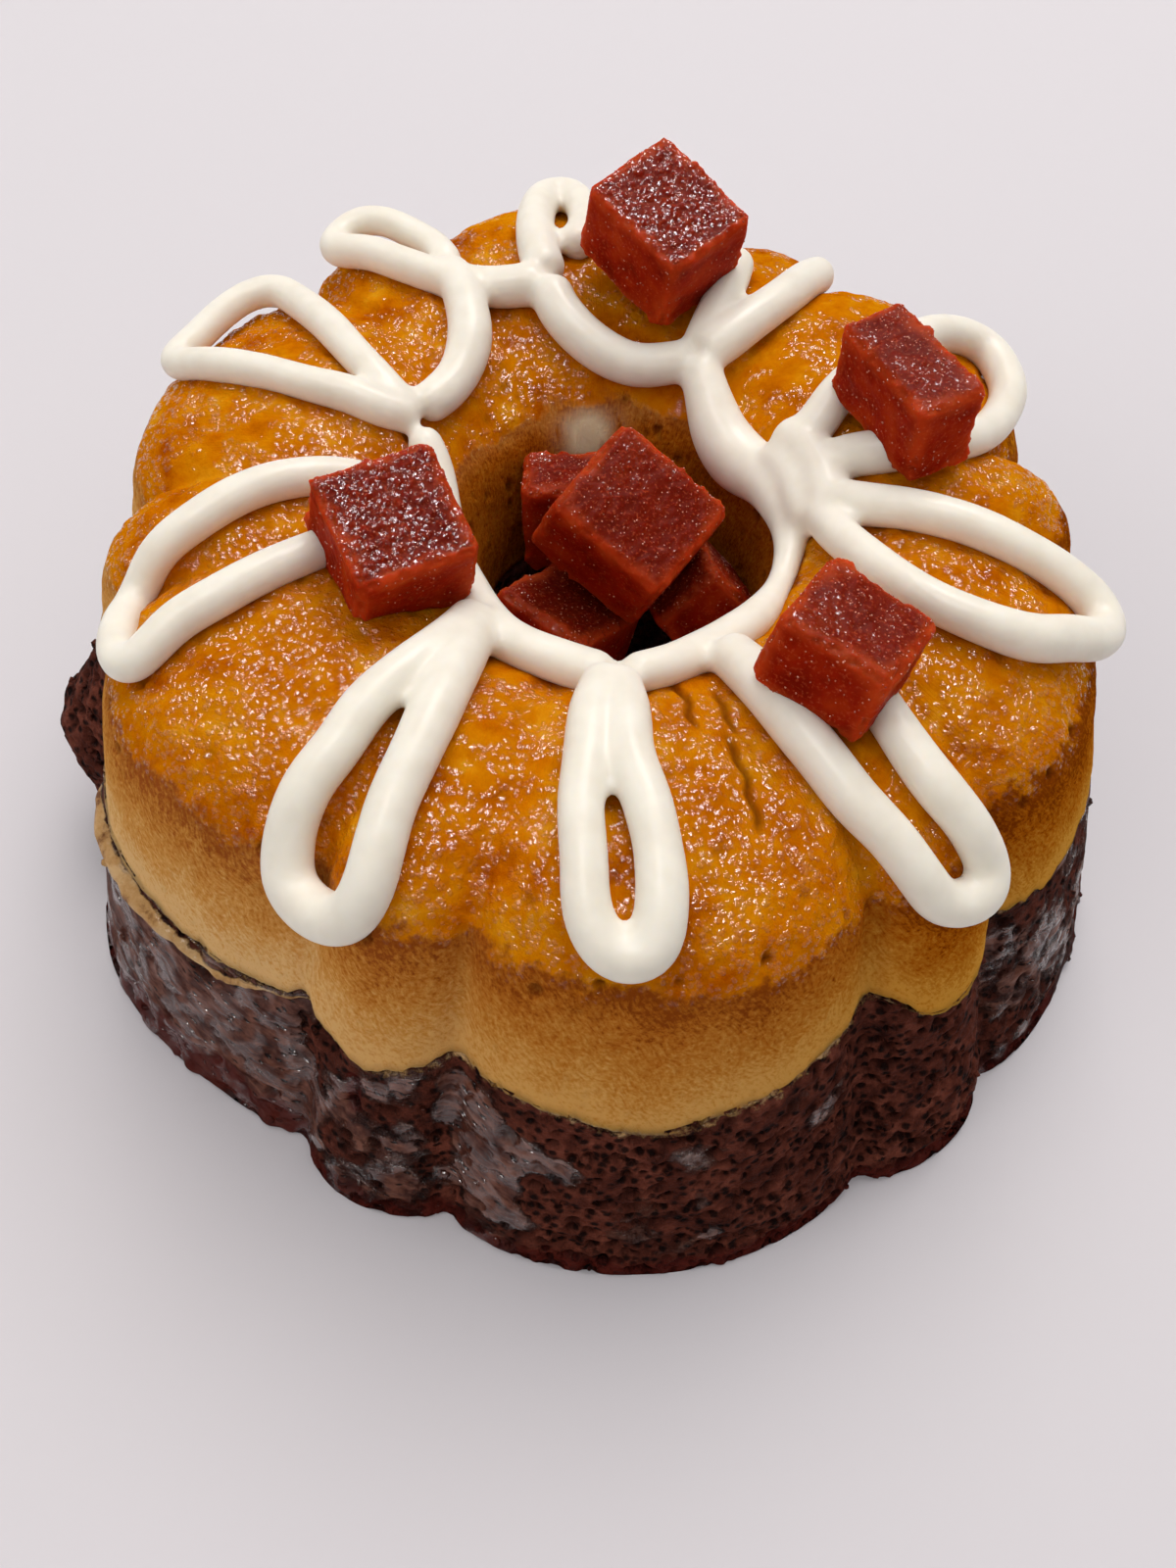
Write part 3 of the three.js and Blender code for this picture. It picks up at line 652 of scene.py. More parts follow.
    # the grain stands out more on the bare wall than on the crown
    coarse = add(tree, "ShaderNodeMath", {0: above, 1: -1.3, 2: 3.3}, operation="MULTIPLY_ADD")
    relief = add(tree, "ShaderNodeMath", {0: fibre, 1: coarse, 2: beads}, operation="MULTIPLY_ADD")
    bump = add(tree, "ShaderNodeBump", {"Height": relief, "Distance": 0.1 * MM, "Strength": 1.0})
    return finish_surface(material, {
        "Base Color": colour, "Roughness": 0.55, "IOR": 1.4, "Specular IOR Level": 0.0,
        "Subsurface Weight": 0.18, "Subsurface Radius": (1.0, 0.45, 0.15), "Subsurface Scale": 3 * MM,
        "Coat Weight": wet, "Coat Roughness": 0.05, "Coat IOR": 1.45, "Normal": bump, "Coat Normal": bump,
    })


def sponge_material(settings):
    """Chocolate sponge with an open crumb, closed here and there by a smooth skin soaked with syrup."""
    material, tree, coords, wet, hollow, custard, foot = new_material(
        "Chocolate sponge crumb", "wet", "hollow", "custard", "foot")
    blotch = add(tree, "ShaderNodeTexNoise", {
        "Vector": coords, "Scale": 1 / (3.5 * MM), "Detail": 6.0, "Roughness": 0.65})
    fine = add(tree, "ShaderNodeTexNoise", {"Vector": coords, "Scale": 1 / (0.7 * MM), "Detail": 3.0})

    # open crumb: brown walls round pores of 0.5 to 1 mm, with painted shade darkening towards each pore's
    # middle
    warp = add(tree, "ShaderNodeVectorMath", {0: fine.outputs["Color"], 1: (0.5 * MM,) * 3, 2: coords},
               operation="MULTIPLY_ADD")
    pores = add(tree, "ShaderNodeTexVoronoi", {"Vector": warp, "Scale": 1 / (1.3 * MM)}, feature="F1")
    open_wall = add(tree, "ShaderNodeMapRange", {
        "Value": pores, "From Min": 0.18, "From Max": 0.5, "To Min": 0.12}, interpolation_type="SMOOTHSTEP")
    crumb = add(tree, "ShaderNodeValToRGB", {"Fac": blotch}, stops=(
        (0.32, "#2E120C"), (0.5, settings.crumb_colour), (0.72, "#7E4434")))

    # smooth skin: streaks 1 mm wide drawn out along the wall, with pinholes darkened by painted shade
    unrolled = add(tree, "ShaderNodeTexCoord").outputs["UV"]
    lay = add(tree, "ShaderNodeMapping", {
        "Vector": unrolled, "Rotation": (0.0, 0.0, math.radians(-14)), "Scale": (3.6 * MM, 1.2 * MM, 1.0),
    }, vector_type="TEXTURE")
    streaks = add(tree, "ShaderNodeTexNoise", {
        "Vector": lay, "Scale": 1.0, "Detail": 5.0, "Roughness": 0.55, "Distortion": 0.8})
    pale = add(tree, "ShaderNodeMix", {"Factor": 0.42, "A": blotch, "B": streaks}, data_type="FLOAT")
    skin = add(tree, "ShaderNodeValToRGB", {"Fac": pale}, stops=(
        (0.34, "#260D08"), (0.47, settings.syrup_colour), (0.6, "#764A3A")))
    drawn = add(tree, "ShaderNodeVectorMath", {0: lay, 1: (1.0, 0.7, 1.0)}, operation="MULTIPLY")
    pinholes = add(tree, "ShaderNodeTexVoronoi", {"Vector": drawn, "Scale": 1.6}, feature="F1")
    closed = add(tree, "ShaderNodeMapRange", {
        "Value": pinholes, "From Min": 0.12, "From Max": 0.26, "To Min": 0.12},
        interpolation_type="SMOOTHSTEP")

    # pores and pinholes are darkened with painted shade; the skin closes the crumb where it is wet, and the
    # foot is redder
    crumb, skin = (
        add(tree, "ShaderNodeMix", {"Factor": 1.0, "A": colour, "B": shade},
            data_type="RGBA", blend_type="MULTIPLY")
        for colour, shade in ((crumb, open_wall), (skin, closed)))
    film = add(tree, "ShaderNodeMath", {0: blotch, 1: 1.1, 2: wet}, operation="MULTIPLY_ADD")
    film = add(tree, "ShaderNodeMapRange", {"Value": film, "From Min": 0.9, "From Max": 1.15},
               interpolation_type="SMOOTHSTEP")
    red = add(tree, "ShaderNodeMath", {0: foot, 1: 1.1, 2: fine}, operation="MULTIPLY_ADD")
    red = add(tree, "ShaderNodeMapRange", {"Value": red, "From Min": 0.75, "From Max": 1.3, "To Max": 0.85})
    # custard that stuck to the sponge
    flecks = add(tree, "ShaderNodeTexNoise", {
        "Vector": coords, "Scale": 1 / (1.6 * MM), "Detail": 4.0, "Roughness": 0.7})
    flecks = add(tree, "ShaderNodeMath", {0: flecks, 1: 1.8, 2: custard}, operation="MULTIPLY_ADD")
    flecks = add(tree, "ShaderNodeMapRange", {
        "Value": flecks, "From Min": 1.35, "From Max": 1.75, "To Max": 0.9}, interpolation_type="SMOOTHSTEP")
    roll = add(tree, "ShaderNodeValToRGB", {"Fac": blotch}, stops=(
        (0.36, "#7A4C26"), (0.46, "#C29458"), (0.62, "#D8B27C")))
    # pores, burst bubbles, the slit, the torn cavity and the nick are painted near-black as shade
    colour = layered(tree, crumb, (film, skin), (red, "#4E150E"), (hollow, "#160605"), (flecks, roll))

    # the film is thick and shiny in patches 6 mm across, and swells there
    swells = add(tree, "ShaderNodeTexNoise", {
        "Vector": coords, "Scale": 1 / (6 * MM), "Detail": 2.0, "Distortion": 0.6})
    thick = add(tree, "ShaderNodeMapRange", {
        "Value": swells, "From Min": 0.43, "From Max": 0.57, "To Min": 0.15}, interpolation_type="SMOOTHSTEP")
    shine = add(tree, "ShaderNodeMath", {0: film, 1: thick}, operation="MULTIPLY")
    shine = add(tree, "ShaderNodeMath", {0: flecks, 1: 0.3, 2: shine}, operation="MULTIPLY_ADD")
    shine = add(tree, "ShaderNodeMath", {0: shine, 1: 0.98, 2: 0.01}, operation="MULTIPLY_ADD")
    rough = add(tree, "ShaderNodeMath", {0: open_wall, 1: 0.8, 2: fine}, operation="MULTIPLY_ADD")
    smooth = add(tree, "ShaderNodeMath", {0: streaks, 1: 0.6, 2: closed}, operation="MULTIPLY_ADD")
    smooth = add(tree, "ShaderNodeMath", {0: swells, 1: 6.5, 2: smooth}, operation="MULTIPLY_ADD")
    relief = add(tree, "ShaderNodeMix", {"Factor": film, "A": rough, "B": smooth}, data_type="FLOAT")
    relief = add(tree, "ShaderNodeMix", {"Factor": flecks, "A": relief, "B": blotch}, data_type="FLOAT")
    depth = add(tree, "ShaderNodeMapRange", {"Value": film, "To Min": 0.7 * MM, "To Max": 0.5 * MM})
    bump = add(tree, "ShaderNodeBump", {"Height": relief, "Distance": depth, "Strength": 1.0})
    return finish_surface(material, {
        "Base Color": colour, "Roughness": 0.75, "IOR": 1.4, "Specular IOR Level": 0.04,
        "Coat Weight": shine, "Coat Roughness": 0.08, "Coat IOR": 1.65, "Normal": bump, "Coat Normal": bump,
    })


def icing_material(settings):
    """Melted white icing piped while warm: smooth, glossy, and slightly see-through at thin edges."""
    material, tree, coords = new_material("Piped white icing")
    waves = add(tree, "ShaderNodeTexNoise", {"Vector": coords, "Scale": 1 / (4 * MM), "Detail": 2.0})
    tint = add(tree, "ShaderNodeValToRGB", {"Fac": waves}, stops=((0.3, "#ECE6D7"), (0.6, settings.colour)))
    bump = add(tree, "ShaderNodeBump", {"Height": waves, "Distance": 0.12 * MM, "Strength": 0.6})
    return finish_surface(material, {
        "Base Color": tint, "Roughness": 0.3, "IOR": 1.46, "Specular IOR Level": 0.06, "Normal": bump,
        "Subsurface Weight": 0.45, "Subsurface Radius": (1.0, 0.85, 0.65), "Subsurface Scale": 2.5 * MM,
    })


def guava_material(settings):
    """Guava paste, a stiff fruit jelly cut with a knife: red glows through it, and its top is grainy."""
    material, tree, coords, grain, rim, top = new_material("Cut guava paste", "grain", "rim", "top")
    cloud = add(tree, "ShaderNodeTexNoise", {"Vector": coords, "Scale": 1 / (4 * MM), "Detail": 4.0})
    body = add(tree, "ShaderNodeValToRGB", {"Fac": cloud}, stops=(
        (0.3, "#781404"), (0.5, settings.colour), (0.75, "#AE360C")))
    # the top has dried to a darker skin, grit shows in the paste, and a lighter orange along its edges is
    # painted light coming through
    dry = add(tree, "ShaderNodeMath", {0: top, 1: 0.62}, operation="MULTIPLY")
    grit = add(tree, "ShaderNodeTexNoise", {"Vector": coords, "Scale": 1 / (0.4 * MM), "Detail": 2.0})
    grit = add(tree, "ShaderNodeMapRange", {"Value": grit, "From Min": 0.55, "From Max": 0.72, "To Max": 0.5})
    glow = add(tree, "ShaderNodeMath", {0: rim, 1: 0.45}, operation="MULTIPLY")
    body = layered(tree, body, (dry, "#561408"), (grit, "#BE5030"), (glow, "#CC5220"))

    # beads of juice on the top
    crowd = add(tree, "ShaderNodeMath", {0: cloud, 1: 0.9, 2: grain}, operation="MULTIPLY_ADD")
    crowd = add(tree, "ShaderNodeMapRange", {"Value": crowd, "From Min": 0.5, "From Max": 1.2})
    beads = add(tree, "ShaderNodeMath", {0: syrup_beads(tree, coords, 0.62 * MM), 1: crowd},
                operation="MULTIPLY")
    wet = add(tree, "ShaderNodeMapRange", {"Value": beads, "From Min": 0.1, "From Max": 0.5})
    fine = add(tree, "ShaderNodeTexNoise", {"Vector": coords, "Scale": 1 / (0.8 * MM), "Detail": 3.0})
    relief = add(tree, "ShaderNodeMath", {0: beads, 1: 1.3, 2: fine}, operation="MULTIPLY_ADD")
    bump = add(tree, "ShaderNodeBump", {"Height": relief, "Distance": 0.08 * MM, "Strength": 1.0})
    return finish_surface(material, {
        "Base Color": body, "Roughness": 0.45, "IOR": 1.38, "Specular IOR Level": 0.02,
        "Subsurface Weight": 0.7, "Subsurface Radius": (1.0, 0.16, 0.06), "Subsurface Scale": 3 * MM,
        "Coat Weight": wet, "Coat Roughness": 0.05, "Coat IOR": 1.5, "Normal": bump, "Coat Normal": bump,
    })


def sugar_material():
    """Grains of sugar, clear and stained red by the paste, bright where they catch the light."""
    material, tree, coords = new_material("Stained sugar grains")
    stain = add(tree, "ShaderNodeTexNoise", {"Vector": coords, "Scale": 1 / (0.7 * MM), "Detail": 1.0})
    tint = add(tree, "ShaderNodeValToRGB", {"Fac": stain}, stops=((0.35, "#9A2C14"), (0.65, "#D07A5C")))
    return finish_surface(material, {
        "Base Color": tint, "Roughness": 0.2, "IOR": 1.5, "Specular IOR Level": 0.3, "Coat Weight": 0.8,
        "Coat Roughness": 0.06, "Coat IOR": 1.5,
    })


def floor_material(settings):
    """Matt coated card, pale and even."""
    material, tree, coords = new_material("Pale studio floor")
    tooth = add(tree, "ShaderNodeTexNoise", {"Vector": coords, "Scale": 1 / (2 * MM), "Detail": 2.0})
    bump = add(tree, "ShaderNodeBump", {"Height": tooth, "Distance": 0.02 * MM, "Strength": 0.3})
    return finish_surface(material, {
        "Base Color": rgba(settings.floor_colour), "Roughness": 0.6, "Specular IOR Level": 0.0,
        "Normal": bump,
    })


# ---------- Geometry Nodes ----------
def new_group(name, *inputs):
    """A node group that takes a mesh, what `inputs` lists by name, kind and default, and a material."""
    tree = bpy.data.node_groups.new(name, "GeometryNodeTree")
    for label, kind, default in (("Geometry", "Geometry", None), *inputs, ("Material", "Material", None)):
        socket = tree.interface.new_socket(name=label, in_out="INPUT", socket_type=f"NodeSocket{kind}")
        if default is not None:
            socket.default_value = default
    tree.interface.new_socket(name="Geometry", in_out="OUTPUT", socket_type="NodeSocketGeometry")
    return tree, add(tree, "NodeGroupInput").outputs


def finish_group(tree, geometry, material):
    """Ends a group in real geometry of one material."""
    real = add(tree, "GeometryNodeRealizeInstances", {"Geometry": geometry})
    done = add(tree, "GeometryNodeSetMaterial", {"Geometry": real, "Material": material})
    add(tree, "NodeGroupOutput", {"Geometry": done})
    return tree


def set_inputs(modifier, **values):
    """Sets a node modifier's inputs by their sockets' identifiers."""
    for item in modifier.node_group.interface.items_tree:
        if item.item_type == "SOCKET" and item.in_out == "INPUT" and item.name in values:
            modifier[item.identifier] = values[item.name]


def sweep_tree():
    """A round rope along each line of the mesh, thick as its `girth` says."""
    tree, given = new_group("Piped rope", ("Radius", "Float", 2.65 * MM), ("Sides", "Int", 20))
    girth = add(tree, "GeometryNodeInputNamedAttribute", {"Name": "girth"}, data_type="FLOAT")
    thick = add(tree, "ShaderNodeMath", {0: girth, 1: given["Radius"]}, operation="MULTIPLY")
    line = add(tree, "GeometryNodeMeshToCurve", {"Mesh": given["Geometry"]})
    line = add(tree, "GeometryNodeSetCurveRadius", {"Curve": line, "Radius": thick})
    ring = add(tree, "GeometryNodeCurvePrimitiveCircle", {"Resolution": given["Sides"], "Radius": 1.0})
    radius = add(tree, "GeometryNodeInputRadius")
    rope = add(tree, "GeometryNodeCurveToMesh", {
        "Curve": line, "Profile Curve": ring, "Scale": radius, "Fill Caps": True})
    return finish_group(tree, rope, given["Material"])


def scatter_tree():
    """Small uneven grains strewn over a surface where its `strewn` attribute says so."""
    tree, given = new_group(
        "Strewn grains", ("Per square metre", "Float", 1e5), ("Smallest", "Float", 0.2 * MM),
        ("Largest", "Float", 0.5 * MM), ("Roundness", "Int", 2), ("Seed", "Int", 1))
    strewn = add(tree, "GeometryNodeInputNamedAttribute", {"Name": "strewn"}, data_type="FLOAT")
    points = add(tree, "GeometryNodeDistributePointsOnFaces", {
        "Mesh": given["Geometry"], "Distance Min": given["Smallest"], "Density Factor": strewn,
        "Density Max": given["Per square metre"], "Seed": given["Seed"]}, distribute_method="POISSON")
    # a ball with its points pushed about is an uneven lump
    ball = add(tree, "GeometryNodeMeshIcoSphere", {"Radius": 1.0, "Subdivisions": given["Roundness"]})
    lump = add(tree, "ShaderNodeTexNoise", {"Scale": 1.3, "Detail": 1.0})
    push = add(tree, "ShaderNodeVectorMath", {0: lump.outputs["Color"], 1: (-0.5,) * 3}, operation="ADD")
    push = add(tree, "ShaderNodeVectorMath", {0: push, "Scale": 1.4}, operation="SCALE")
    grain = add(tree, "GeometryNodeSetPosition", {"Geometry": ball, "Offset": push})
    # grains are turned any way, by up to a full turn about each axis
    turn = add(tree, "FunctionNodeRandomValue", {"Max": (6.283,) * 3, "Seed": 3}, data_type="FLOAT_VECTOR")
    size = add(tree, "FunctionNodeRandomValue", {2: given["Smallest"], 3: given["Largest"], "Seed": 5},
               data_type="FLOAT")
    grains = add(tree, "GeometryNodeInstanceOnPoints", {
        "Points": points, "Instance": grain, "Rotation": turn, "Scale": size})
    return finish_group(tree, grains, given["Material"])


# ---------- operators ----------
class CHOCOFLAN_OT_flan(bpy.types.Operator):
    """Builds the flan layer with its caramel crown."""

    bl_idname = "chocoflan.flan"
    bl_label = "Flan"
    COLUMNS = 740
    WALL_ROWS = 26
    CROWN_ROWS = 103
    # the caramel stops at this height on a crest, so much lower in a crease, and no further out than this
    CARAMEL_EDGE = 50.2
    CARAMEL_SAG = 2.5
    CROWN_RADIUS = 66
    # over this height the wall turns from pale to brown
    BROWNING_HEIGHT = 21
    # depths of burst bubbles and pinholes, half a crack's width, and how far the lower edge draws in
    PIT_DEPTH = 0.9
    PINHOLE_DEPTH = 0.35
    CRACK_REACH = 0.5
    EDGE_TUCK = 0.38

    def rows(self, angle, seam):
        """Radius and height of each row: up the wall, over the crown, down the hole, back over the seam."""
        # crown rows spaced evenly along the crest's profile
        fine = np.linspace(0, HOLE_SPLIT_ROW, 400)
        profile = row_reading(CROWN_CREST, fine)
        length = np.append(0, np.cumsum(np.linalg.norm(np.diff(profile, axis=0), axis=1)))
        crown = np.interp(np.linspace(0, length[-1], self.CROWN_ROWS), length, fine)
        for part in np.arange(self.WALL_ROWS) / self.WALL_ROWS:
            z = seam + (SHOULDER_HEIGHT - seam) * part
            yield wall_radius(angle, z), z
        for row in crown:
            yield crown_point(angle, np.full_like(angle, row))
        # radius, and how much of the way from the hole's edge to the wall's the underside has come
        for r, mix in ((24, 0.1), (38, 0.4), (52, 0.7), (60, 0.9)):
            yield np.minimum(r, wall_radius(angle, seam) - 2.5), HOLE_SEAM * (1 - mix) + seam * mix

    def execute(self, context):
        settings = context.scene.chocoflan_flan
        angle = front_heavy(self.COLUMNS)
        foot = ring_places(angle, MEAN_RADIUS, np.zeros_like(angle))
        seam = seam_height(angle) + drift(foot, 3.5, 11) * 0.7 + drift(foot, 1.1, 12, 2) * 0.35
        ring = Ring(angle, seam, self.rows(angle, seam))
        p, theta, radius, height = ring.places, ring.theta, ring.radius, ring.height
        skin = ring.row < self.WALL_ROWS + self.CROWN_ROWS

        # where what is: caramel, hole, the right and front that are painted deeper as shade, and patches with
        # stronger pebbles
        edge = self.CARAMEL_EDGE - (1 - swell(theta)) * self.CARAMEL_SAG
        edge = edge + drift(p, 5, 21) * 1.3 + drift(p, 1.8, 22) * 0.7
        crown = radius < self.CROWN_RADIUS
        hole = smoothstep(22.5, 20.5, radius) * skin
        caramel = smoothstep(-0.7, 1.1, height - edge) * crown
        caramel = caramel * (1 - 0.75 * hole * smoothstep(48, 42, height))
        right = smoothstep(0.4, 0.8, facing(theta, -15))
        front = smoothstep(0.03, 0.62, facing(theta, -40))
        patch = smoothstep(-0.5, 0.5, drift(p, 13, 23, 2) + 0.45 * facing(theta, -125))

        # low swells, with pebbles on the caramel
        near = bubbles(p, 2.1, 25)
        pebbles = (0.5 - smoothstep(0.1, 0.7, near)) * settings.pebble_height / MM * (0.35 + 0.65 * patch)
        pebbles = pebbles + drift(p, 3.4, 26, 2) * 0.26 + drift(p, 1.5, 27, 1) * 0.14
        push = drift(p, 14, 24, 2) * 0.35 + pebbles * caramel + drift(p, 2.4, 28, 2) * 0.1 * (1 - caramel)

        # small burst bubbles, most along the shoulder and down the hole
        spot = bubbles(p, 4.6, 29)
        band = np.exp(-((height - edge + 0.5) / 2.6) ** 2) + 0.25 * caramel + 0.7 * hole
        pit = smoothstep(0.22, 0.1, spot) * np.clip(band, 0, 1)
        fine_spot = bubbles(p, 2.6, 30)
        pinholes = smoothstep(0.24, 0.12, fine_spot) * (0.25 + 0.75 * hole) * (1 - caramel * (1 - hole))
        push = push - pit * self.PIT_DEPTH - pinholes * self.PINHOLE_DEPTH
        for middle, inner, outer, depth in CRACKS:
            across = np.radians(angle_gap(theta, middle)) * radius + drift(p, 4, 31, 2) * 0.8
            along = smoothstep(inner - 1.5, inner + 1, radius) * smoothstep(outer + 1.5, outer - 1, radius)
            groove = np.exp(-(across / self.CRACK_REACH) ** 2) * along * (height > 50)
            push = push - groove * depth
            pit = np.maximum(pit, groove * 0.9)
        # the lower edge is rounded over where it meets the sponge
        lip = smoothstep(1.4, 0, height - ring.seam)
        push = (push * (1 - 0.6 * lip) - self.EDGE_TUCK * lip ** 2) * skin

        # a pale patch at the back of the hole, and how brown the wall is, from 0 at the seam
        cream = mound(theta, height, 104, 8, 47.5, 3.4) * hole
        cream = cream * 1.6 + drift(p + ring.outward * push[:, None], 3, 32) * 0.3 * (cream > 0.1)
        rise = (height - ring.seam) / self.BROWNING_HEIGHT
        # painted shade: the right is made browner here, and the front and right deeper in colour below; in
        # the hole the brown and deep colour is partly painted shade
        rise = (rise + 0.2 * right * smoothstep(0.1, 0.4, rise)) * (1 - hole) + 0.78 * hole
        mesh = ring.mesh(
            "flan_layer", push, custard_material(settings),
            edge=np.where(skin & crown, np.clip(height - edge - 4 * hole, -8, 8), -8), pebbly=patch,
            golden=np.maximum(hole, 0.65 * front + 0.35 * right), rise=np.clip(rise, 0, 1),
            pit=np.clip(pit * 0.8 + pinholes * 0.35, 0, 1), cream=np.clip(cream, 0, 1))
        settle(show("flan_layer", mesh), "flan", "flan")
        return {"FINISHED"}


class CHOCOFLAN_OT_sponge(bpy.types.Operator):
    """Builds the chocolate sponge with its open crumb, wet film and torn places."""

    bl_idname = "chocoflan.sponge"
    bl_label = "Chocolate sponge"
    COLUMNS = 760
    WALL_ROWS = 78
    HOLE_ROWS = 24
    # how far the batter's lip stands out, and depths of what is torn, burst or tucked in
    LIP = 4.8
    SLIT_DEPTH = 1.9
    CAVITY_DEPTH = 3.2
    NICK_DEPTH = 1.8
    STRIP_DEPTH = 0.9
    BURST_DEPTH = 1.2
    TUCK = 0.3

    def rows(self, angle, seam):
        """Radius and height of each row: up the wall, in under the flan, down the hole, out over the sole."""
        for part in np.arange(self.WALL_ROWS) / (self.WALL_ROWS - 1):
            # a lip of batter hangs off the left lobe
            z = seam * part
            yield wall_radius(angle, z) + self.LIP * mound(angle, z, -170, 8, 21, 9), z
        for inset, drop in ((2.5, 0.2), (8, 1.2)):
            yield wall_radius(angle, seam) - inset, seam - drop
        for r in (45, 32):
            yield r, HOLE_SEAM * 0.5 + seam * 0.5 - 1
        for z in HOLE_SEAM * (1 - np.linspace(0, 1, self.HOLE_ROWS)):
            yield np.interp(z, [0, 10, 31], [14, 14.6, 17.2]), z
        for r in (26, 40, 54, 64):
            yield np.minimum(r, wall_radius(angle, 0) - 3), 0

    def execute(self, context):
        settings = context.scene.chocoflan_sponge
        angle = front_heavy(self.COLUMNS)
        seam = seam_height(angle) + 0.6
        ring = Ring(angle, seam, self.rows(angle, seam))
        p, theta, height, row = ring.places, ring.theta, ring.height, ring.row
        below = ring.seam - height
        wall = row < self.WALL_ROWS
        hole_start = self.WALL_ROWS + 4
        skin = wall | ((row >= hole_start) & (row < hole_start + self.HOLE_ROWS))

        # where syrup has run down and left a film: the left lobes, the front's left flank and the right
        ragged = theta + drift(p, 10, 54) * 6
        left_film = window(ragged, -158, -117, 4) * smoothstep(-2, 2, height)
        front_film = window(ragged, -104, -94, 3) * smoothstep(3, 8, height) * smoothstep(29, 25, height)
        wet = np.maximum.reduce([
            left_film, front_film, window(theta, -117, -104, 3) * 0.55, window(ragged, -42, -6, 6) * 0.52,
            0.35 * smoothstep(0.1, 0.6, drift(p, 12, 41, 2))])
        wet = np.clip(wet + drift(p, 4, 42) * 0.35 * (wet > 0.05), 0, 1) * wall

        # open crumb, with a few big burst bubbles in the film and runny batter along the foot
        near = bubbles(p * (1, 1, 1.35), 3.1, 43)
        small = bubbles(p * (1, 1, 1.25), 1.9, 44)
        pore = smoothstep(0.42, 0.18, near) + smoothstep(0.4, 0.2, small) * 0.55
        pore = pore * (1 - 0.82 * wet) * skin
        push = drift(p, 9, 45, 2) * 0.55 * (1 - 0.5 * wet) + drift(p, 2.2, 46, 2) * 0.32 * (1 - 0.75 * wet)
        push = push * skin - pore * settings.pore_depth / MM
        big = bubbles(p, 9, 47)
        burst = smoothstep(0.2, 0.1, big) * wall * wet
        runny = window(theta, -158, -120, 4) * smoothstep(8.5, 4, height + drift(p, 5, 52) * 2.5)
        foot = np.maximum(smoothstep(5, 0.5, height), runny) * wall
        push = push - burst * self.BURST_DEPTH + foot * drift(p, 3, 48, 2) * 0.5

        # a roll of custard squeezed out left of the front, thinning to a line, and the slit above it
        along = angle_gap(theta, -138)
        ledge = window(theta, -154, -119, 1.5) * wall
        ledge_middle = np.interp(
            along, [-16, -10, -3, 0, 4, 8, 14, 19], [29, 27.2, 26.8, 26.3, 25.2, 25.0, 27.4, 29])
        ledge_half = np.interp(along, [-16, -10, 1, 6, 19], [1.5, 1.5, 1.3, 0.5, 0.3])
        offset = (height - ledge_middle + drift(p, 4, 49, 2) * 0.5) / ledge_half
        custard = ledge * smoothstep(1.25, 0.8, np.abs(offset)) * smoothstep(0.5, 1.5, below)
        roll = np.clip(1 - 0.6 * offset ** 2, 0, 1) * ledge_half * 0.9
        gap = np.minimum(height - ledge_middle - ledge_half, below - 0.9)
        slit = window(theta, -150, -129, 3) * smoothstep(-0.4, 1.1, gap) * wall
        slit = slit * smoothstep(-0.5, 0.1, drift(p, 6, 53, 2))
        push = push * (1 - custard) + custard * (roll + drift(p, 2.6, 51, 2) * 0.45) - slit * self.SLIT_DEPTH

        # a torn cavity in the left crease, a nick at the front, and a strip torn off the narrow lobe
        torn = np.exp(-(angle_gap(theta, -117) / 2.2) ** 2) * np.exp(-((2.2 - below) / 2.4) ** 2) * wall
        nick = mound(theta, height, -80.3, 1.5, 26.8, 0.7) * wall
        strip = np.exp(-(angle_gap(theta, -112.5) / 0.8) ** 2) * wall
        strip = strip * smoothstep(17, 19, height) * smoothstep(26, 24, height)
        push = push - torn * self.CAVITY_DEPTH - nick * self.NICK_DEPTH
        # the topmost rows lie tucked in under the flan and carry flecks of custard
        whole = (1 - slit) * (1 - torn)
        near_seam = smoothstep(2.6, 0.0, below) * wall
        push = push * (1 - 0.7 * near_seam * whole) - self.TUCK * smoothstep(0.9, 0.0, below) * wall
        push = push - strip * self.STRIP_DEPTH

        wet = wet * (1 - np.clip(3 * slit, 0, 1)) * (1 - np.clip(custard, 0, 1))
        # how much painted shade darkens each opening, how wet the film, and where custard and redder crumb
        # show
        hollow = pore * 0.75 * (1 - near_seam) + (burst + slit + torn) * 0.8 + nick
        mesh = ring.mesh(
            "sponge_layer", push, sponge_material(settings), wet=wet, hollow=np.clip(hollow, 0, 1),
            custard=np.maximum(custard * 1.7, near_seam * 0.62) * whole, foot=np.maximum(foot, strip * 1.5))
        settle(show("sponge_layer", mesh), "chocolate_sponge", "chocolate_sponge")
        return {"FINISHED"}


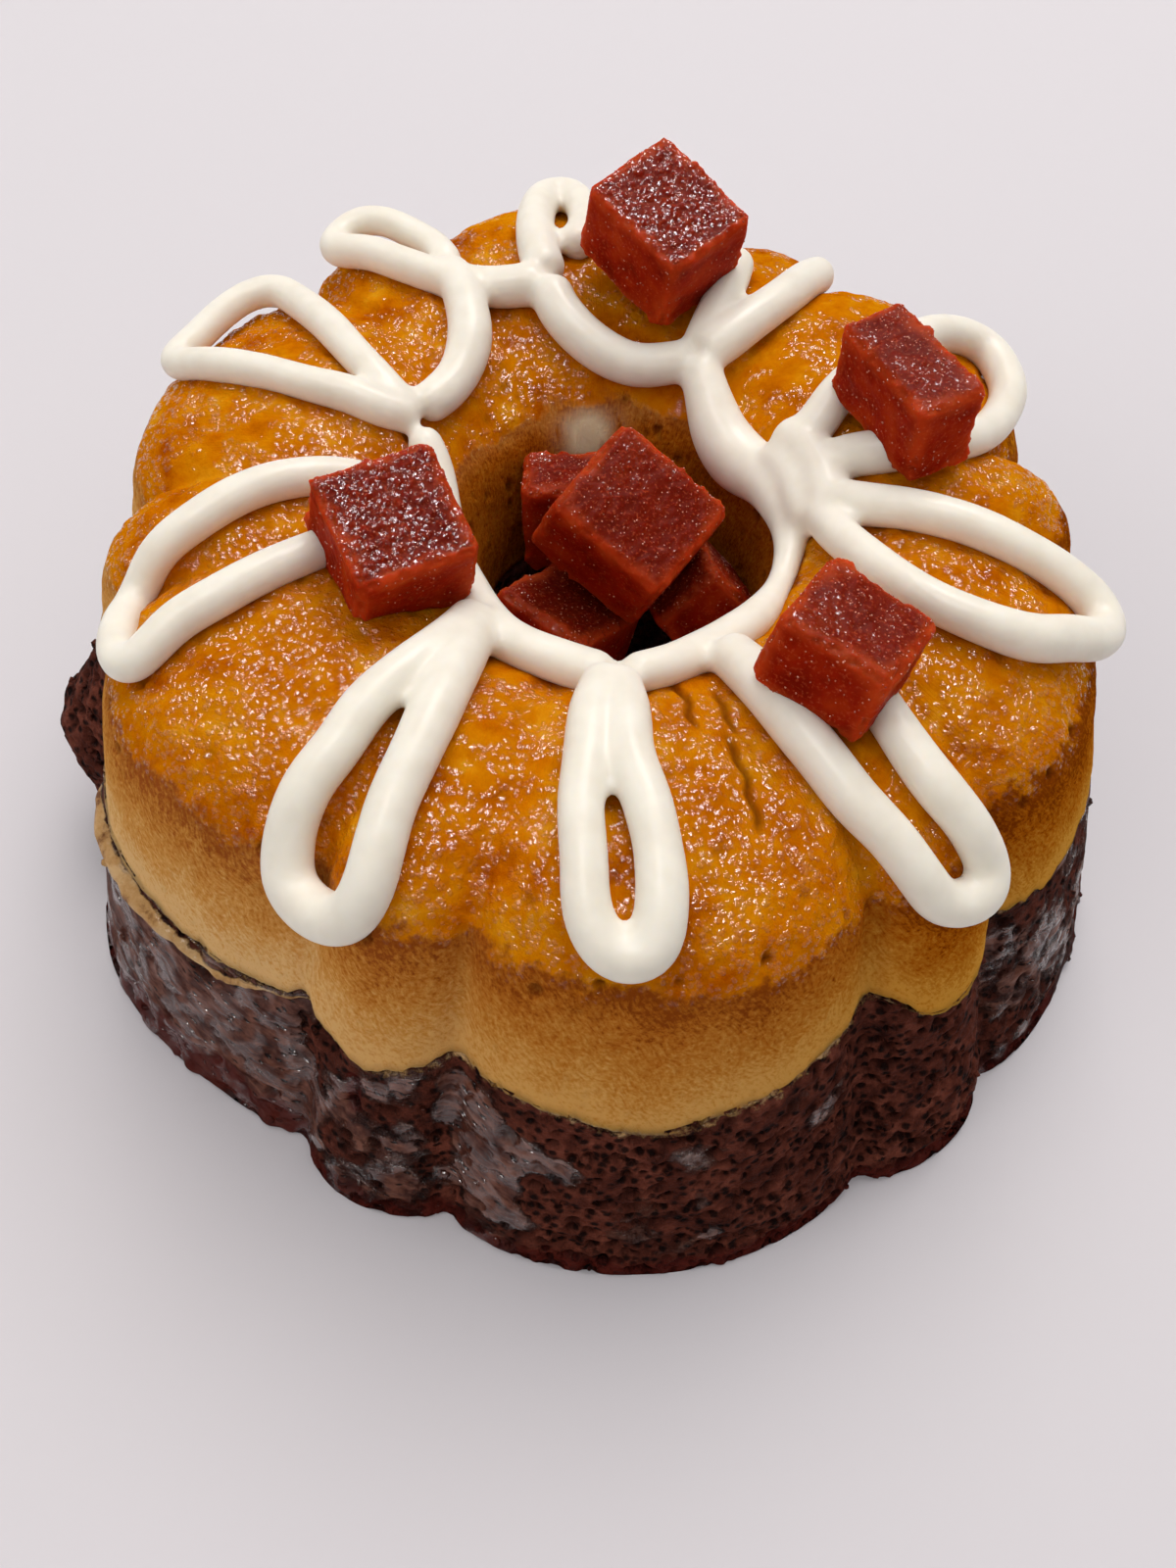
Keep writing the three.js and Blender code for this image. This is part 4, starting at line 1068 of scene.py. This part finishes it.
def rope_line(waypoints):
    """Points along a centripetal Catmull-Rom curve through waypoints on the flan, and their thickness."""
    angle, radius, thick, off = np.array([(*row, 0)[:4] for row in waypoints], float).T
    z = top_height(angle, radius) + ROPE_LIFT * thick + off
    knots = np.column_stack([ring_places(angle, radius, z), thick])
    knots = np.vstack([2 * knots[0] - knots[1], knots, 2 * knots[-1] - knots[-2]])
    points = []
    for i in range(1, len(knots) - 2):
        x0, x1, x2, x3 = knots[i - 1:i + 3]
        d0, d1, d2 = (
            max(np.linalg.norm((b - a)[:3]) ** 0.5, 1e-4) for a, b in ((x0, x1), (x1, x2), (x2, x3)))
        start = ((x1 - x0) / d0 - (x2 - x0) / (d0 + d1) + (x2 - x1) / d1) * d1
        end = ((x2 - x1) / d1 - (x3 - x1) / (d1 + d2) + (x3 - x2) / d2) * d1
        t = np.linspace(0, 1, 40, endpoint=i == len(knots) - 3)[:, None]
        points.append(x1 + start * t + (-3 * x1 + 3 * x2 - 2 * start - end) * t ** 2
                      + (2 * x1 - 2 * x2 + start + end) * t ** 3)
    points = np.vstack(points)
    length = np.append(0, np.cumsum(np.linalg.norm(np.diff(points[:, :3], axis=0), axis=1)))
    even = np.linspace(0, length[-1], max(int(length[-1] / ROPE_STEP), 4))
    points = np.stack([np.interp(even, length, points[:, k]) for k in range(4)], 1)
    for _ in range(2):
        points[1:-1] = (points[:-2] + 2 * points[1:-1] + points[2:]) / 4
    # a rope spans small dips but rests on what stands up under it; its height is eased over about 5 mm
    a = np.degrees(np.arctan2(points[:, 1], points[:, 0]))
    far = np.hypot(points[:, 0], points[:, 1])
    rise = np.maximum(points[:, 2], top_height(a, far) + ROPE_LIFT * 0.75 * points[:, 3])
    weights = np.hanning(11)[1:-1]
    points[:, 2] = np.convolve(np.pad(rise, 4, mode="edge"), weights / weights.sum(), mode="valid")
    return points[:, :3], points[:, 3]


class CHOCOFLAN_OT_icing(bpy.types.Operator):
    """Pipes the icing loops and melts them together where they meet."""

    bl_idname = "chocoflan.icing"
    bl_label = "Piped icing"
    VOXEL = 0.445 * MM

    def execute(self, context):
        settings = context.scene.chocoflan_icing
        points, edges, girth = [], [], []
        for number, waypoints in enumerate(ROPES.values()):
            line, thick = rope_line(waypoints)
            count = np.arange(len(line))
            # a rope's ends are rounded off over 2 mm, and its thickness wavers a little
            end = np.minimum(count, count[::-1]) * ROPE_STEP
            nose = np.sqrt(np.clip(1 - (1 - np.clip(end / 2.0, 0, 1)) ** 2, 0.02, 1))
            fat = thick / ROPE_THICKNESS * (1 + drift(line, 9, 60 + number, 2) * 0.03)
            edges.append(np.stack([count[:-1], count[1:]], 1) + sum(map(len, points)))
            points.append(line)
            girth.append(nose * fat)
        mesh = bpy.data.meshes.new("icing_lines")
        mesh.from_pydata((np.vstack(points) + MIDDLE) * MM, np.vstack(edges).tolist(), [])
        write_attribute(mesh, "girth", np.concatenate(girth))
        icing = show("piped_icing", mesh)
        material = icing_material(settings)
        sweep = icing.modifiers.new("Ropes", "NODES")
        sweep.node_group = sweep_tree()
        set_inputs(sweep, Radius=settings.rope_radius + settings.fillet, Material=material)
        for name, kind, values in (
            ("Join", "REMESH", {"mode": "VOXEL", "voxel_size": self.VOXEL}),
            ("Ease", "SMOOTH", {"factor": 0.5, "iterations": 3}),
            ("Draw in", "DISPLACE", {"strength": -settings.fillet, "mid_level": 0.0}),
            ("Even out", "REMESH", {"mode": "VOXEL", "voxel_size": self.VOXEL}),
            ("Melt", "SMOOTH", {"factor": 0.5, "iterations": 5}),
        ):
            modifier = icing.modifiers.new(name, kind)
            for key, value in values.items():
                setattr(modifier, key, value)
        apply_modifiers(icing)
        if not icing.data.polygons:
            raise RuntimeError("the icing came out empty")
        icing.data.materials.clear()
        icing.data.materials.append(material)
        settle(icing, "icing", "icing")
        return {"FINISHED"}


def face_axes(mesh):
    """The directions in which a cube's faces look."""
    faces = sorted(mesh.polygons, key=lambda face: -face.area)
    first = np.array(faces[0].normal)
    second = next(np.array(f.normal) for f in faces if abs(np.dot(first, f.normal)) < 0.3)
    second = second - first * np.dot(first, second)
    second /= np.linalg.norm(second)
    return np.stack([first, second, np.cross(first, second)])


def merged_copy(name, node):
    """A welded copy of a solid's loose triangles."""
    thing = show(name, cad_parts[node].data.copy())
    thing.data.materials.clear()
    weld = thing.modifiers.new("Weld", "WELD")
    weld.merge_threshold = 0.001 * MM
    return thing


class CHOCOFLAN_OT_guava(bpy.types.Operator):
    """Makes the guava paste cubes grainy and soft-edged, and strews their tops with grains."""

    bl_idname = "chocoflan.guava"
    bl_label = "Guava cubes"
    VOXEL = 0.28 * MM
    # the numbers, from 0, of the cubes whose tops are the coarsest
    COARSE_TOPS = (0, 2)

    def execute(self, context):
        settings = context.scene.chocoflan_guava
        material = guava_material(settings)
        hosts = []
        for number, node in enumerate(sorted(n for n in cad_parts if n.startswith("guava_cube"))):
            cube = merged_copy(f"guava_piece_{number + 1}", node)
            grid = cube.modifiers.new("Grid", "REMESH")
            grid.mode, grid.voxel_size = "VOXEL", self.VOXEL
            soft = cube.modifiers.new("Soften", "SMOOTH")
            soft.factor, soft.iterations = 0.5, 1
            apply_modifiers(cube)
            mesh = cube.data
            p, n = triples(mesh.vertices, "co") / MM, triples(mesh.vertex_normals, "vector")
            across = p @ face_axes(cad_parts[node].data).T
            gaps = np.sort(np.minimum(across - across.min(0), across.max(0) - across), axis=1)
            # how near the edges each point is; the material paints light coming through the paste there
            rim = smoothstep(2.4, 0.2, gaps[:, 1] + drift(p, 3, 110 + number, 2) * 0.8)
            top = smoothstep(0.45, 0.8, n[:, 2])
            coarse = 1.0 if number in self.COARSE_TOPS else 0.35
            lump = bubbles(p, 1.15, 70 + number)
            push = drift(p, 6, 80 + number, 2) * 0.25
            push = push - smoothstep(0.15, 0.65, lump) * top * coarse * settings.roughness_height / MM * 1.6
            push = push + drift(p, 1.2, 90 + number, 2) * 0.09
            # the knife leaves the edges sharp and torn
            torn = smoothstep(1.1, 0.2, gaps[:, 1])
            push = push + torn * (0.1 + drift(p, 1.3, 120 + number, 2) * 0.75)
            mesh.vertices.foreach_set("co", ((p + n * push[:, None]) * MM).astype(np.float32).ravel())
            grain = np.clip(top * (coarse * 1.3 - 0.3), 0, 1)
            for name, values in (("grain", grain), ("rim", rim), ("top", top), ("strewn", top * 0.7 + 0.3)):
                write_attribute(mesh, name, values)
            mesh.materials.clear()
            mesh.materials.append(material)
            mesh.update()
            hosts.append(cube)
            settle(cube, "guava_paste", node)
        self.strew_grains(hosts, scatter_tree(), sugar_material(), settings)
        return {"FINISHED"}

    def strew_grains(self, hosts, scatter, material, settings):
        """Strews sugar over each cube, most of it on the top."""
        for number, host in enumerate(hosts):
            area = sum(face.area for face in host.data.polygons)
            grains = show(f"guava_grains_{number + 1}", host.data.copy())
            strew = grains.modifiers.new("Grains", "NODES")
            strew.node_group = scatter
            set_inputs(strew, **{
                "Per square metre": settings.grains / area, "Smallest": 0.06 * MM, "Largest": 0.15 * MM,
                "Roundness": 1, "Seed": 100 + number, "Material": material})
            apply_modifiers(grains)
            settle(grains, "guava_paste")


class CHOCOFLAN_OT_crumbs(bpy.types.Operator):
    """Strews loose crumbs on the sponge."""

    bl_idname = "chocoflan.crumbs"
    bl_label = "Loose crumbs"
    # square metres of sponge on which crumbs may lie
    CRUMBED_AREA = 0.014

    def execute(self, context):
        settings = context.scene.chocoflan_sponge
        sponge = bpy.data.objects["sponge_layer"]
        crumbs = show("loose_crumbs", sponge.data.copy())
        p = triples(crumbs.data.vertices, "co") / MM
        radius = np.hypot(p[:, 0] - MIDDLE[0], p[:, 1] - MIDDLE[1])
        wet = np.empty(len(p), np.float32)
        crumbs.data.attributes["wet"].data.foreach_get("value", wet)
        strewn = (radius > 55) * (p[:, 2] > 1.0) * (1 - wet) * (0.4 + 0.6 * (p[:, 2] < 6))
        write_attribute(crumbs.data, "strewn", strewn)
        strew = crumbs.modifiers.new("Crumbs", "NODES")
        strew.node_group = bpy.data.node_groups.get("Strewn grains") or scatter_tree()
        material = bpy.data.materials["Chocolate sponge crumb"]
        set_inputs(strew, **{
            "Per square metre": settings.crumbs / self.CRUMBED_AREA, "Smallest": 0.25 * MM,
            "Largest": 0.7 * MM, "Seed": 7, "Material": material})
        apply_modifiers(crumbs)
        settle(crumbs, "chocolate_sponge")
        return {"FINISHED"}


class CHOCOFLAN_OT_stage(bpy.types.Operator):
    """Sets the floor, the soft lights and the camera."""

    bl_idname = "chocoflan.stage"
    bl_label = "Stage"
    # name, place, width and power in watts, and whether wet surfaces alone see it
    LAMPS = [
        ("Window", (0.15, 0.66, 1.35), 1.1, 14.5, False),
        ("Fill", (-1.1, -0.7, 0.8), 1.0, 4.0, False),
        ("Back pane", (0.18, 0.75, 1.3), 0.6, 55.0, True),
        ("Front pane", (-0.25, -0.1, 1.45), 0.5, 36.0, True),
    ]
    LAMP_TARGET = Vector((0, 0, 0.03))
    CAMERA_PLACE = Vector((-0.000259, -0.118382, 0.167569))
    CAMERA_AIM = Vector((0.0, 0.5635, -0.8261))
    CAMERA_UP = Vector((-0.0680, 0.8242, 0.5622))

    def execute(self, context):
        settings = context.scene.chocoflan_stage
        scene = context.scene
        bpy.ops.mesh.primitive_plane_add(size=6, location=(0, 0, 0))
        floor = context.object
        floor.name = "studio_floor"
        floor.data.materials.append(floor_material(settings))
        floor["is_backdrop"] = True

        # bright ceiling, dim walls
        world = bpy.data.worlds.new("Soft daylight")
        world.use_nodes = True
        tree = world.node_tree
        tree.nodes.clear()
        way = add(tree, "ShaderNodeTexCoord").outputs["Generated"]
        up = add(tree, "ShaderNodeSeparateXYZ", {"Vector": way}).outputs["Z"]
        glow = add(tree, "ShaderNodeMapRange", {
            "Value": up, "From Min": 0.1, "From Max": 0.85, "To Min": 0.18, "To Max": 0.7})
        sky = add(tree, "ShaderNodeBackground", {"Color": "#F6F4F6", "Strength": glow})
        add(tree, "ShaderNodeOutputWorld", {"Surface": sky})
        scene.world = world

        # a wide soft light and a fill without shine, and two smaller panes that only glint in what is wet
        for name, place, size, power, glints in self.LAMPS:
            light = bpy.data.lights.new(name, "AREA")
            light.size, light.energy, light.color = size, power, linear("#FFFAF7")
            lamp = bpy.data.objects.new(name, light)
            lamp.location = place
            lamp.rotation_euler = (self.LAMP_TARGET - lamp.location).to_track_quat("-Z", "Y").to_euler()
            lamp.visible_glossy = glints
            lamp.visible_diffuse = not glints
            scene.collection.objects.link(lamp)

        camera = bpy.data.cameras.new("Camera")
        camera.lens, camera.sensor_width = settings.lens / MM, 36
        camera.clip_start = 0.01
        viewer = bpy.data.objects.new("Camera", camera)
        forward = self.CAMERA_AIM.normalized()
        side = forward.cross(self.CAMERA_UP.normalized()).normalized()
        turn = Matrix((side, side.cross(forward), -forward)).transposed()
        viewer.matrix_world = Matrix.Translation(self.CAMERA_PLACE) @ turn.to_4x4()
        scene.collection.objects.link(viewer)
        scene.camera = viewer
        scene.view_settings.view_transform = "Standard"
        return {"FINISHED"}


class CHOCOFLAN_PT_panel(bpy.types.Panel):
    """Lists the cake's pieces and their settings."""

    bl_idname = "CHOCOFLAN_PT_panel"
    bl_label = "Chocoflan"
    bl_space_type = "VIEW_3D"
    bl_region_type = "UI"
    bl_category = "Chocoflan"

    def draw(self, context):
        for operator, group in PIECES:
            self.layout.operator(operator.bl_idname)
            if group:
                settings = getattr(context.scene, f"chocoflan_{group}")
                for name in settings.__annotations__:
                    self.layout.prop(settings, name)


GROUPS = {"sponge": SpongeSettings, "flan": FlanSettings, "icing": IcingSettings, "guava": GuavaSettings,
          "stage": StageSettings}
PIECES = [(CHOCOFLAN_OT_sponge, "sponge"), (CHOCOFLAN_OT_flan, "flan"), (CHOCOFLAN_OT_icing, "icing"),
          (CHOCOFLAN_OT_guava, "guava"), (CHOCOFLAN_OT_crumbs, None), (CHOCOFLAN_OT_stage, "stage")]
CLASSES = [*GROUPS.values(), *(operator for operator, _ in PIECES), CHOCOFLAN_PT_panel]


def register():
    for cls in CLASSES:
        bpy.utils.register_class(cls)
    for name, group in GROUPS.items():
        setattr(bpy.types.Scene, f"chocoflan_{name}", PointerProperty(type=group))


def unregister():
    for name in GROUPS:
        delattr(bpy.types.Scene, f"chocoflan_{name}")
    for cls in reversed(CLASSES):
        bpy.utils.unregister_class(cls)


def main():
    register()
    for operator, _ in PIECES:
        namespace, name = operator.bl_idname.split(".")
        getattr(getattr(bpy.ops, namespace), name)()
    boxes = {"cad": cad_box, "visual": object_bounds()}
    plain = {key: [[float(v) for v in corner] for corner in box] for key, box in boxes.items()}


if __name__ == "__main__":
    main()
